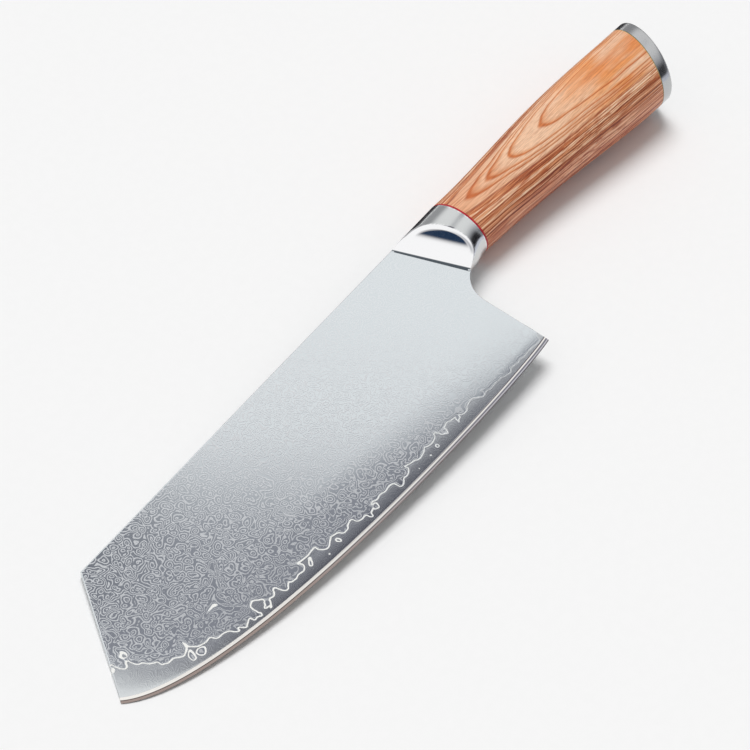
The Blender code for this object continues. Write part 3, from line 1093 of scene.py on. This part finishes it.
    def body(self, material: Material) -> None:
        """Builds the bolster.

        Args:
            material: Its finish.
        """
        skin = Skin()
        for side in Side:
            self.half_skin(skin, side)
        made = skin.piece("bolster", KNIFE_PLACE, material, weld=True)
        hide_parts("bolster")


@dataclass(frozen=True)
class LayeredSteel:
    """Forge-welded layered stainless steel, ground, etched and sharpened.

    The etch eats the layers unevenly: rougher pale lines wind over a smoother ground, so the
    pattern shows where the steel mirrors something dark and all but goes where it mirrors a lamp.
    Where the grinding cut through to the plain core, a whitish wavy line parts the two.
    """

    name: str
    place: Matrix
    ground: str = "D9DFE2"
    line: str = "EAEDEF"
    seam: str = "FAFAF6"
    core: str = "D5D9DB"
    # The next five colours are painted into the bevel: a painted highlight on the upper facet, a
    # painted reflection on the lower facet, a painted dark line, a painted dark reflection and a
    # painted glint.
    facet_painted_highlight: str = "F8F5F0"
    edge_painted_reflection: str = "A3948E"
    painted_dark_line: str = "4A3C38"
    shade: str = "6C6A74"
    glint: str = "C9C8CE"
    swirl: float = 2.95
    swell: float = 4.1
    lobe: float = 4.1
    lobe_swell: float = 6.2
    lobe_shift: Triple = (-77.0, 33.0, 0.0)
    lobe_soft: float = 0.6
    swirl_soft: float = 0.34
    mean_fall: float = 0.45
    bend: float = 3.2
    bend_waves: float = 0.22
    sink: float = 0.4
    sink_start: float = 2.0
    sink_growth: float = 0.1
    drift: float = 4.0
    drift_waves: float = 0.15
    layer: float = 0.97
    line_roughness: tuple[float, float] = (0.07, 0.21)
    core_roughness: float = 0.13
    seam_roughness: float = 0.6
    facet_roughness: float = 0.3
    line_half: float = 0.17
    slope_step: float = 0.15
    bevel: float = 1.9
    rounding: tuple[tuple[float, float], ...] = ((22.0, 0.00033), (6.0, 0.00011))

    def swirls(
        self, shader: Shader, place: Socket, size: float, swell: float, soft: float
    ) -> Socket:
        """The relief that punching and twisting gave the layers, cell by cell.

        Args:
            shader: The shader to add to.
            place: The point to look at, in millimetres.
            size: How far the cells lie apart.
            swell: How much the relief falls over one such distance.
            soft: How round the ridges between the cells are, from 0 to 1.

        Returns:
            Its height in millimetres.
        """
        add = shader.add
        bend = add("TexNoise", {"Vector": place, "Scale": self.bend_waves, "Detail": 1.0}, "Color")
        bent = shader.warped(place, bend, self.bend)
        settings = {"Vector": bent, "Scale": 1.0 / size, "Smoothness": soft}
        far = add("TexVoronoi", settings, "Distance", feature="SMOOTH_F1", voronoi_dimensions="2D")
        return add("Math.MULTIPLY_ADD", (far, -swell, swell * self.mean_fall))

    def make(self) -> Material:
        """Builds the material.

        Returns:
            The finished material.
        """
        shader = Shader(self.name)
        add = shader.add
        place = shader.millimetres(self.place)
        above_seam = add("Attribute", (), "Fac", attribute_name="above_seam")
        above_edge = add("Attribute", (), "Fac", attribute_name="above_edge")
        along = add("SeparateXYZ", (place,), "X")
        # Towards the heel the seam runs smoother, and the etch left the lines faint.
        calm = add("MapRange", (along, -60.0, -8.0, 1.0, 0.4))
        wild = add("MapRange", (along, -90.0, -150.0, 1.0, 1.2))
        wild = add("Math.MULTIPLY", (wild, calm))
        # The lobes of the seam, here and one small step further along and across.
        step = self.slope_step
        rises = []
        for way in ((0.0, 0.0, 0.0), (step, 0.0, 0.0), (0.0, step, 0.0)):
            spot = tuple(a + b for a, b in zip(self.lobe_shift, way))
            spot = add("VectorMath.ADD", (place, spot))
            rise = self.swirls(shader, spot, self.lobe, self.lobe_swell, self.lobe_soft)
            rises.append(add("Math.MULTIPLY", (rise, wild)))
        fine = self.swirls(shader, place, self.swirl, self.swell, self.swirl_soft)
        near = add("Math.MINIMUM", (above_seam, self.sink_start))
        high = add("Math.MAXIMUM", (above_seam, self.sink_start))
        high = add("Math.MULTIPLY_ADD", (high, self.sink_growth, self.sink))
        height = add("Math.ADD", (near, high))
        relief = add("Math.ADD", (height, fine))
        height = add("Math.ADD", (height, rises[0]))
        on_core = add("MapRange", (height, 0.15, -0.15))
        # The slope of the relief turns a height over the seam into a distance from it.
        slopes = []
        for rise, own in zip(rises[1:], (0.0, step)):
            change = add("Math.SUBTRACT", (rise, rises[0]))
            slopes.append(add("Math.ADD", (change, own)))
        slope = add("CombineXYZ", tuple(slopes))
        slope = add("VectorMath.LENGTH", (slope,), "Value")
        slope = add("Math.MULTIPLY_ADD", (slope, 1.0 / step, 0.15))
        off_seam = add("Math.DIVIDE", (height, slope))
        off_seam = add("Math.ABSOLUTE", (off_seam,))
        on_seam = add("MapRange", (off_seam, self.line_half * 1.5, self.line_half * 0.7))
        faint = add("MapRange", (along, -115.0, -25.0, 1.0, 0.22))
        on_seam = add("Math.MULTIPLY", (on_seam, faint))
        # The layers are about 0.1 mm thick. Their lines are drawn 0.4 to 0.8 mm apart, so that
        # they show.
        drift = add("TexNoise", {"Vector": place, "Scale": self.drift_waves, "Detail": 2.0})
        away = add("MapRange", (height, 1.0, 3.5))
        turn = add("Mix", {0: away, 2: height, 3: relief})
        turn = add("Math.MULTIPLY", (turn, 1.0 / self.layer))
        turn = add("Math.MULTIPLY_ADD", (drift, self.drift, turn))
        turn = add("Math.PINGPONG", (turn, 0.5))
        on_line = add("MapRange", (turn, 0.24, 0.37))
        on_line = add("Math.MULTIPLY", (on_line, calm))
        # The bevel is honed in two facets, and their colours are painted reflections: a painted
        # highlight on the upper facet, a painted reflection on the lower one and a painted dark
        # line between them, and towards the heel painted dark and light bands.
        honed = add("MapRange", (above_edge, self.bevel + 0.06, self.bevel - 0.06))
        ahead = add("MapRange", (along, -20.0, -120.0))
        across = add("Math.DIVIDE", (above_edge, self.bevel))
        stops = ((0.0, self.painted_dark_line), (0.1, self.shade), (0.2, self.glint), (0.3, self.glint))
        stops += ((0.38, self.shade), (0.56, "8E8D99"), (0.62, self.facet_painted_highlight), (0.78, self.facet_painted_highlight))
        stops += ((0.85, self.painted_dark_line), (0.92, self.shade), (1.0, "A2A7AE"))
        heel = add("ValToRGB", (across,), stops=stops)
        stops = ((0.0, self.edge_painted_reflection), (0.34, self.edge_painted_reflection), (0.4, self.painted_dark_line), (0.47, self.painted_dark_line))
        stops += ((0.52, self.facet_painted_highlight), (1.0, self.facet_painted_highlight))
        bevel = add("ValToRGB", (across,), stops=stops)
        bevel = add("Mix", {0: ahead, 6: heel, 7: bevel}, MIXED, **COLOURS)
        colour = add("Mix", {0: on_line, 6: self.ground, 7: self.line}, MIXED, **COLOURS)
        rough = add("MapRange", (on_line, 0.0, 1.0, *self.line_roughness))
        layers = (
            (on_core, self.core, self.core_roughness),
            (on_seam, self.seam, self.seam_roughness),
            (honed, bevel, self.facet_roughness),
        )
        for share, shade, roughness in layers:
            colour = add("Mix", {0: share, 6: colour, 7: shade}, MIXED, **COLOURS)
            rough = add("Mix", {0: share, 2: rough, 3: roughness})
        matt = add("Math.SUBTRACT", (1.0, honed))
        matt = add("Math.MULTIPLY", (matt, on_seam))
        metal = add("MapRange", {0: matt, 3: 1.0, 4: 0.3})
        # The blade is ground slightly round towards the edge.
        bumps = []
        for reach, depth in self.rounding:
            falling = add("MapRange", {0: above_edge, 2: reach, 3: 1.0, 4: 0.0})
            falling = add("Math.POWER", (falling, 2.0))
            falling = add("Math.SUBTRACT", (1.0, falling))
            bumps.append((falling, 1.0, depth))
        # Grit 400 hairlines run along the blade, drawn 0.1 mm apart, and the lines stand proud.
        hair = shader.drawn_noise(place, (0.12, 9.0, 1.0))
        bumps += [(hair, 0.3, 0.000001), (on_line, 1.0, 0.0000017)]
        normal = {}
        for relief, strength, depth in bumps:
            settings = {"Height": relief, "Strength": strength, "Distance": depth} | normal
            normal = {"Normal": add("Bump", settings)}
        return shader.dress(Base_Color=colour, Metallic=metal, Roughness=rough, **normal)


@dataclass(frozen=True)
class PolishedSteel:
    """Stainless steel, buffed to a mirror in the ground hollow and left satin outside it."""

    name: str
    place: Matrix
    colour: str = "F6F6F7"
    satin_colour: str = "D2D4D4"
    # The next colour and its two limits are painted shade along the joint to the blade.
    joint: str = "5C6268"
    joint_shade_ends: tuple[float, float] = (0.44, 0.22)
    roughness: float = 0.07
    satin: float = 0.15

    def make(self) -> Material:
        """Builds the material.

        Returns:
            The finished material.
        """
        shader = Shader(self.name)
        add = shader.add
        place = shader.millimetres(self.place)
        smear = add("TexNoise", {"Vector": place, "Scale": 0.25, "Detail": 4.0})
        rough = (0.3, 0.7, self.roughness * 0.8, self.roughness * 1.4)
        rough = add("MapRange", (smear, *rough))
        outside = add("Attribute", (), "Fac", attribute_name="outside")
        rough = add("Mix", {0: outside, 2: rough, 3: self.satin})
        colours = {6: self.colour, 7: self.satin_colour}
        colour = add("Mix", {0: outside, **colours}, MIXED, **COLOURS)
        # Painted shade darkens the bolster's front plane and a thin band of the hollow behind it,
        # along the joint to the blade.
        behind = add("Attribute", (), "Fac", attribute_name="behind")
        joint = add("MapRange", (behind, *self.joint_shade_ends))
        colour = add("Mix", {0: joint, 6: colour, 7: self.joint}, MIXED, **COLOURS)
        # Buffing lines run round the oval, drawn 0.15 mm apart.
        hair = shader.drawn_noise(place, (6.0, 0.3, 0.3))
        normal = add("Bump", {"Height": hair, "Strength": 0.3, "Distance": 0.000003})
        return shader.dress(Base_Color=colour, Metallic=1.0, Roughness=rough, Normal=normal)


@dataclass(frozen=True)
class BrushedSteel:
    """Stainless steel, brushed on a belt: fine parallel scratches stretch its highlights."""

    name: str
    place: Matrix
    colour: str
    roughness: float

    def make(self) -> Material:
        """Builds the material.

        Returns:
            The finished material.
        """
        shader = Shader(self.name)
        add = shader.add
        # Grit 240 leaves scratches 0.05 mm apart. They are drawn 0.15 mm apart, so that they show.
        scratch = shader.drawn_noise(shader.millimetres(self.place), (7.0, 0.25, 0.25), 3.0)
        rough = (0.3, 0.7, self.roughness * 0.8, self.roughness * 1.25)
        rough = add("MapRange", (scratch, *rough))
        normal = add("Bump", {"Height": scratch, "Strength": 0.6, "Distance": 0.000006})
        return shader.dress(Base_Color=self.colour, Metallic=1.0, Roughness=rough, Normal=normal)


@dataclass(frozen=True)
class VulcanisedFibre:
    """Crimson vulcanised fibre, sanded flush: a dense matt sheet with a faint papery mottle."""

    name: str
    place: Matrix
    colour: str = "C41C30"
    dark: str = "9E1022"

    def make(self) -> Material:
        """Builds the material.

        Returns:
            The finished material.
        """
        shader = Shader(self.name)
        add = shader.add
        place = shader.millimetres(self.place)
        mottle = add("TexNoise", {"Vector": place, "Scale": 1.5, "Detail": 4.0})
        colour = add("ValToRGB", (mottle,), stops=((0.35, self.dark), (0.6, self.colour)))
        normal = add("Bump", {"Height": mottle, "Strength": 0.3, "Distance": 0.00002})
        return shader.dress(Base_Color=colour, Roughness=0.42, IOR=1.5, Normal=normal)


@dataclass(frozen=True)
class StabilisedWood:
    """Resin-stabilised figured wood, sanded fine and oiled.

    The growth rings show as pointed arches on the side, where the swelling grip cuts them flat, and
    as dense straight lines along the belly, where it cuts them square.
    """

    name: str
    place: Matrix
    pale: str = "EFC4A2"
    warm: str = "E0A378"
    late: str = "C8743F"
    line: str = "7A3418"
    brown: str = "B96236"
    tan: str = "DE9868"
    light: str = "FFE2C2"
    red: str = "EBC4B4"
    pink: str = "F0CDB6"
    flame: str = "FAD09C"
    streak: str = "C98A66"
    pith: tuple[float, float] = (2.8, 25.0)
    pith_slant: float = 0.03
    rings: tuple[float, ...] = (13.4, 15.05, 15.95, 16.6)
    wide_rings: tuple[float, float] = (10.0, 18.0)
    wide_to_fine: tuple[float, float] = (17.2, 18.0)
    red_rings: tuple[float, float] = (23.0, 25.5)
    glue_ends: tuple[float, float] = (-0.3, -0.2)
    glue: str = "8C8440"
    rear: float = 93.2
    slant: float = math.radians(19.2)

    def make(self) -> Material:
        """Builds the material.

        Returns:
            The finished material.
        """
        shader = Shader(self.name)
        add = shader.add
        place = shader.millimetres(self.place)
        true = add("SeparateXYZ", (place,)).node.outputs
        warp = shader.drawn_noise(place, (0.028, 0.1, 0.1), 3.0, "Color")
        bent = shader.warped(place, warp, 1.6)
        x, y, z = add("SeparateXYZ", (bent,)).node.outputs
        # The growth rings run round a pith 25 mm out of the left side.
        side = add("Math.SUBTRACT", (y, self.pith[0]))
        sunk = add("Math.MULTIPLY_ADD", (x, -self.pith_slant, self.pith[1]))
        sunk = add("Math.SUBTRACT", (sunk, z))
        flat = add("CombineXYZ", (side, sunk))
        radius = add("VectorMath.LENGTH", (flat,), "Value")
        # On the flat side few wide rings show, each ending in a thin dark line.
        first, last = self.wide_rings
        ends = ((-0.05, self.pale), (-0.016, self.warm), (-0.004, self.late))
        ends += ((0.007, self.late), (0.022, self.pale))
        stops = [(0.0, self.warm)]
        for ring in self.rings:
            spot = (ring - first) / (last - first)
            stops += [(spot + way, shade) for way, shade in ends]
        share = add("MapRange", (radius, first, last))
        face = add("ValToRGB", (share,), stops=tuple(stops))
        # Further out they are 0.5 to 1 mm wide and run 60 mm and more.
        grain = add("CombineXYZ", (x, radius, 0.0))
        grain = add("Mapping", {0: grain, 3: (0.006, 1.0, 1.0)})
        grain = add("TexNoise", {"Vector": grain, "Scale": 1.7, "Detail": 4.0, "Roughness": 0.7})
        stops = ((0.39, self.line), (0.445, self.brown), (0.5, self.tan), (0.56, self.pale))
        flank = add("ValToRGB", (grain,), stops=(*stops, (0.62, self.light)))
        below = add("MapRange", (radius, *self.red_rings, 0.0, 0.8))
        flank = add("Mix", {0: below, 6: flank, 7: self.red}, MIXED, **TINTS)
        # Towards the bolster the wood is pinker, and stain left the butt end more orange.
        pinker = add("MapRange", (x, 30.0, 0.0, 0.0, 0.7))
        face = add("Mix", {0: pinker, 6: face, 7: self.pink}, MIXED, **TINTS)
        glow = add("MapRange", (shader.drawn_noise(bent, (0.05, 0.3, 0.3)), 0.42, 0.62))
        rearward = add("MapRange", (x, 42.0, 75.0))
        glow = add("Math.MULTIPLY", (glow, rearward))
        face = add("Mix", {0: glow, 6: face, 7: self.flame}, MIXED, **TINTS)
        outer = add("MapRange", (radius, *self.wide_to_fine))
        colour = add("Mix", {0: outer, 6: face, 7: flank}, MIXED, **COLOURS)
        streak = shader.drawn_noise(bent, (0.022, 2.6, 2.6))
        thin = add("MapRange", (streak, 0.48, 0.38))
        share = add("MapRange", (radius, 16.0, 19.0, 0.25, 0.85))
        thin = add("Math.MULTIPLY", (thin, share))
        colour = add("Mix", {0: thin, 6: colour, 7: self.streak}, MIXED, **TINTS)
        # Pores are 0.1 mm wide and some millimetres long.
        pore = shader.drawn_noise(place, (0.3, 5.0, 5.0))
        for limits in ((streak, 0.45, 0.7, 1.0, 1.12), (pore, 0.35, 0.6, 0.84, 1.04)):
            shade = add("MapRange", limits)
            colour = add("VectorMath.SCALE", {0: colour, "Scale": shade})
        # A thin line of glue shows along the cap.
        joint = add("Math.MULTIPLY_ADD", (true[1], -math.tan(self.slant), true[0]))
        glued = add("MapRange", (joint, *(self.rear + way for way in self.glue_ends)))
        colour = add("Mix", {0: glued, 6: colour, 7: self.glue}, MIXED, **COLOURS)
        normal = add("Bump", {"Height": pore, "Strength": 0.5, "Distance": 0.00002})
        return shader.dress(Base_Color=colour, Roughness=0.42, IOR=1.5, Normal=normal)


@dataclass(frozen=True)
class CuredEpoxy:
    """Cured epoxy bedding: amber, with drowned bubbles and a soft gloss."""

    name: str
    place: Matrix
    pale: str = "D8C48E"
    dark: str = "A98F58"

    def make(self) -> Material:
        """Builds the material.

        Returns:
            The finished material.
        """
        shader = Shader(self.name)
        add = shader.add
        place = shader.millimetres(self.place)
        bubble = add("TexVoronoi", {"Vector": place, "Scale": 0.8}, "Distance")
        colour = add("ValToRGB", (bubble,), stops=((0.1, self.dark), (0.5, self.pale)))
        normal = add("Bump", {"Height": bubble, "Strength": 0.4, "Distance": 0.0001})
        return shader.dress(Base_Color=colour, Roughness=0.3, IOR=1.52, Normal=normal)


@dataclass(frozen=True)
class MattPaper:
    """Matt background paper or card: almost even, with a faint fibre mottle."""

    name: str
    dark: str
    pale: str
    fibres: float

    def make(self, **sockets: float) -> Material:
        """Builds the material.

        Args:
            **sockets: Values for the surface shader's own sockets.

        Returns:
            The finished material.
        """
        shader = Shader(self.name)
        place = shader.add("TexCoord", (), "Object")
        fibre = shader.add("TexNoise", {"Vector": place, "Scale": self.fibres})
        stops = ((0.3, self.dark), (0.7, self.pale))
        return shader.dress(Base_Color=shader.add("ValToRGB", (fibre,), stops=stops), **sockets)


class Way(Enum):
    """What the borders in the room are measured along."""

    ALONG = (1.0, 0.0, 0.0)
    ACROSS = (0.0, 1.0, 0.0)
    HEIGHT = (0.0, 0.0, 1.0)
    SIDE = (0.78, 0.63, 0.0)


Borders = tuple[tuple[Way, float, float], ...]


@dataclass(frozen=True)
class Patch:
    """A patch of the room, which each border fades in from its first place to its second."""

    colour: str
    borders: Borders


# Two softboxes leave a dark strip between them, which the front half of the blade mirrors.
STRIP: Borders = (
    (Way.SIDE, 0.612, 0.586),
    (Way.ACROSS, 0.1, 0.16),
    (Way.ALONG, 0.36, 0.385),
    (Way.ALONG, 0.57, 0.55),
)
# Beyond the edge the room is grey between the lamps and the lit paper, with two dark doorways.
BEYOND: Borders = ((Way.HEIGHT, 0.86, 0.6), (Way.HEIGHT, 0.16, 0.21), (Way.ACROSS, 0.0, -0.38))
DOOR: Borders = (*BEYOND, (Way.HEIGHT, 0.68, 0.5))
# A dark blue curtain hangs beyond the tip, down to the horizon.
CURTAIN: Borders = (
    (Way.HEIGHT, 0.42, 0.28),
    (Way.ALONG, -0.36, -0.62),
    (Way.ACROSS, -0.03, -0.065),
    (Way.ACROSS, -0.32, -0.22),
)
# Each patch covers those before it. The first is the grey wall towards the spine, low down.
ROOM = (
    Patch("ACACAE", ((Way.HEIGHT, 0.55, 0.32),)),
    Patch("97979F", STRIP),
    Patch("7C7D85", (*STRIP, (Way.ACROSS, 0.388, 0.406))),
    Patch("50505C", (*STRIP, (Way.ACROSS, 0.318, 0.27), (Way.ALONG, 0.535, 0.51))),
    Patch("E4E6F2", ((Way.HEIGHT, 0.5, 0.3), (Way.ACROSS, -0.15, -0.45))),
    Patch("B2B3B8", BEYOND),
    Patch("17151A", (*DOOR, (Way.ALONG, 0.24, 0.32), (Way.ALONG, 0.64, 0.57))),
    Patch("17151A", (*DOOR, (Way.ALONG, 0.64, 0.68), (Way.ALONG, 0.9, 0.84))),
    Patch("22354E", CURTAIN),
)


@dataclass
class Studio:
    """Pale floor, soft light and the camera."""

    floor_half: float = 0.9
    key_angle: float = math.radians(35.0)
    key_turn: float = math.radians(45.0)
    key_height: float = math.radians(66.0)
    key_strength: float = 2.067
    dome: float = 0.4
    backdrop: str = "F6F6F6"
    flag_low: tuple[float, float] = (-0.05, 0.033)
    flag_high: tuple[float, float] = (0.3, 0.137)
    flag_turn: tuple[float, float] = (0.156, -0.002)
    flag_height: float = 0.0005
    lens: float = 153.6
    sensor: float = 36.0
    clip: tuple[float, float] = (0.05, 20.0)
    eye: Triple = (-0.5577593, -0.3555506, 0.6911692)
    right: Triple = (0.5749442, -0.8178263, 0.0244788)
    up: Triple = (0.5831892, 0.4306081, 0.6888156)
    back: Triple = (-0.5738723, -0.3817548, 0.7245231)

    def sheet(self, name: str, corners: list[tuple[float, float]], z: float) -> Object:
        """Lays a flat sheet that isn't part of the knife.

        Args:
            name: The object's name.
            corners: Its corners, in order.
            z: How high it lies.

        Returns:
            The sheet.
        """
        mesh = bpy.data.meshes.new(name)
        mesh.from_pydata([(x, y, z) for x, y in corners], [], [range(len(corners))])
        made = put(name, mesh)
        made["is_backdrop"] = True
        log.info("%s: laid", name)
        return made

    def floor(self, material: Material) -> None:
        """Lays the sheet of paper that the knife lies on.

        Args:
            material: Its finish.
        """
        half = self.floor_half
        corners = [(-half, -half), (half, -half), (half, half), (-half, half)]
        self.sheet("floor", corners, 0.0).data.materials.append(material)

    def flag(self, material: Material) -> None:
        """Lays a black card round the spine and the butt, which only the steel mirrors.

        Args:
            material: Its finish.
        """
        (left, front), (right, rear), turn = self.flag_low, self.flag_high, self.flag_turn
        corners = [(left, front), (turn[0], front), turn]
        corners += [(right, turn[1]), (right, rear), (left, rear)]
        flag = self.sheet("flag", corners, self.flag_height)
        flag.data.materials.append(material)
        flag.visible_camera = flag.visible_diffuse = flag.visible_shadow = False

    def camera(self) -> None:
        """Sets up the camera where the photograph was taken from."""
        data = bpy.data.cameras.new("camera")
        data.lens = self.lens
        data.sensor_width = self.sensor
        data.clip_start, data.clip_end = self.clip
        camera = put("camera", data)
        turn = Matrix((self.right, self.up, self.back)).transposed().to_4x4()
        camera.matrix_world = Matrix.Translation(self.eye) @ turn
        bpy.context.scene.camera = camera
        log.info("camera: set")

    def key(self) -> None:
        """Hangs a large soft lamp, far off above the spine and the butt."""
        data = bpy.data.lights.new("key_lamp", "SUN")
        data.angle = self.key_angle
        data.energy = self.key_strength
        lamp = put("key_lamp", data)
        flat = math.cos(self.key_height)
        way = Vector((flat * math.cos(self.key_turn), flat * math.sin(self.key_turn), 0.0))
        way.z = math.sin(self.key_height)
        lamp.rotation_euler = (-way).to_track_quat("-Z", "Y").to_euler()
        lamp.visible_glossy = False
        log.info("key_lamp: hung")

    def world(self) -> None:
        """Makes the room: even light for matt surfaces, and softboxes with dark gaps for metal."""
        world = bpy.data.worlds.new("studio")
        world.use_nodes = True
        bpy.context.scene.world = world
        nodes = Nodes(world.node_tree)
        add = nodes.add
        ray = add("TexCoord", (), "Generated")
        room = (1.0, 1.0, 1.0, 1.0)
        for patch in ROOM:
            share = 1.0
            for way, start, end in patch.borders:
                place = add("VectorMath.DOT_PRODUCT", (ray, way.value), "Value")
                border = add("MapRange", (place, start, end), interpolation_type="SMOOTHSTEP")
                share = add("Math.MULTIPLY", (share, border))
            room = add("Mix", {0: share, 6: room, 7: patch.colour}, MIXED, **COLOURS)
        path = add("LightPath", ()).node.outputs
        level = {0: path["Is Glossy Ray"], 6: (self.dome, self.dome, self.dome, 1.0), 7: room}
        level = add("Mix", level, MIXED, **COLOURS)
        level = {0: path["Is Camera Ray"], 6: level, 7: self.backdrop}
        level = add("Mix", level, MIXED, **COLOURS)
        nodes.feed(nodes.tree.nodes["Background"].inputs["Color"], level)
        log.info("world: made")


@dataclass(frozen=True)
class HiddenSteel:
    """Steel parts inside the handle, which keep their solids and get their finish here."""

    name: str
    nodes: tuple[str, ...]
    colour: str
    roughness: float

    def dress(self, place: Matrix) -> None:
        """Gives the parts their finish, in the handle's frame.

        Args:
            place: Where the handle's frame lies.
        """
        material = BrushedSteel(self.name, place, self.colour, self.roughness).make()
        for node in self.nodes:
            dress_solid(node, material)


HIDDEN = (
    HiddenSteel("turned_pin_steel", ("cap_pin_upper", "cap_pin_lower"), "BCBEC2", 0.3),
    HiddenSteel("hot_rolled_tang_steel", ("tang",), "6E7074", 0.5),
    HiddenSteel("zinc_plated_clamp_steel", ("clamp_washer", "clamp_nut"), "B4B8BA", 0.38),
)


def main() -> None:
    """Builds every piece of the knife, the stage round it and the camera."""
    logging.basicConfig(level=logging.INFO, format="%(message)s")
    bpy.context.scene.view_settings.view_transform = "Standard"

    blade = Blade()
    layered = LayeredSteel("layered_steel_etched", KNIFE_PLACE).make()
    blade.core(LayeredSteel("core_steel_ground", KNIFE_PLACE).make())
    for side in Side:
        blade.cladding(side, layered)

    Bolster().body(PolishedSteel("bolster_steel_buffed", KNIFE_PLACE).make())

    handle = Handle()
    place = handle.form.place
    handle.liner(VulcanisedFibre("liner_fibre_sanded", place).make())
    handle.grip(StabilisedWood("grip_wood_sanded", place).make())
    handle.cap(BrushedSteel("cap_steel_brushed", place, "BCBDBE", 0.17).make())

    for steel in HIDDEN:
        steel.dress(place)
    dress_solid("bedding", CuredEpoxy("bedding_epoxy_cured", place).make())

    studio = Studio()
    paper = MattPaper("paper_matt", "F6F6F6", "F7F7F7", 300.0)
    studio.floor(paper.make(Roughness=0.9, IOR=1.45, Specular_IOR_Level=0.0))
    studio.key()
    studio.flag(MattPaper("card_black", "1E1C20", "2A282E", 400.0).make(Roughness=0.8))
    studio.world()
    studio.camera()

    boxes = {"cad": cad_box, "visual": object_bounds()}
    {key: [list(corner) for corner in box] for key, box in boxes.items()}


if __name__ == "__main__":
    main()
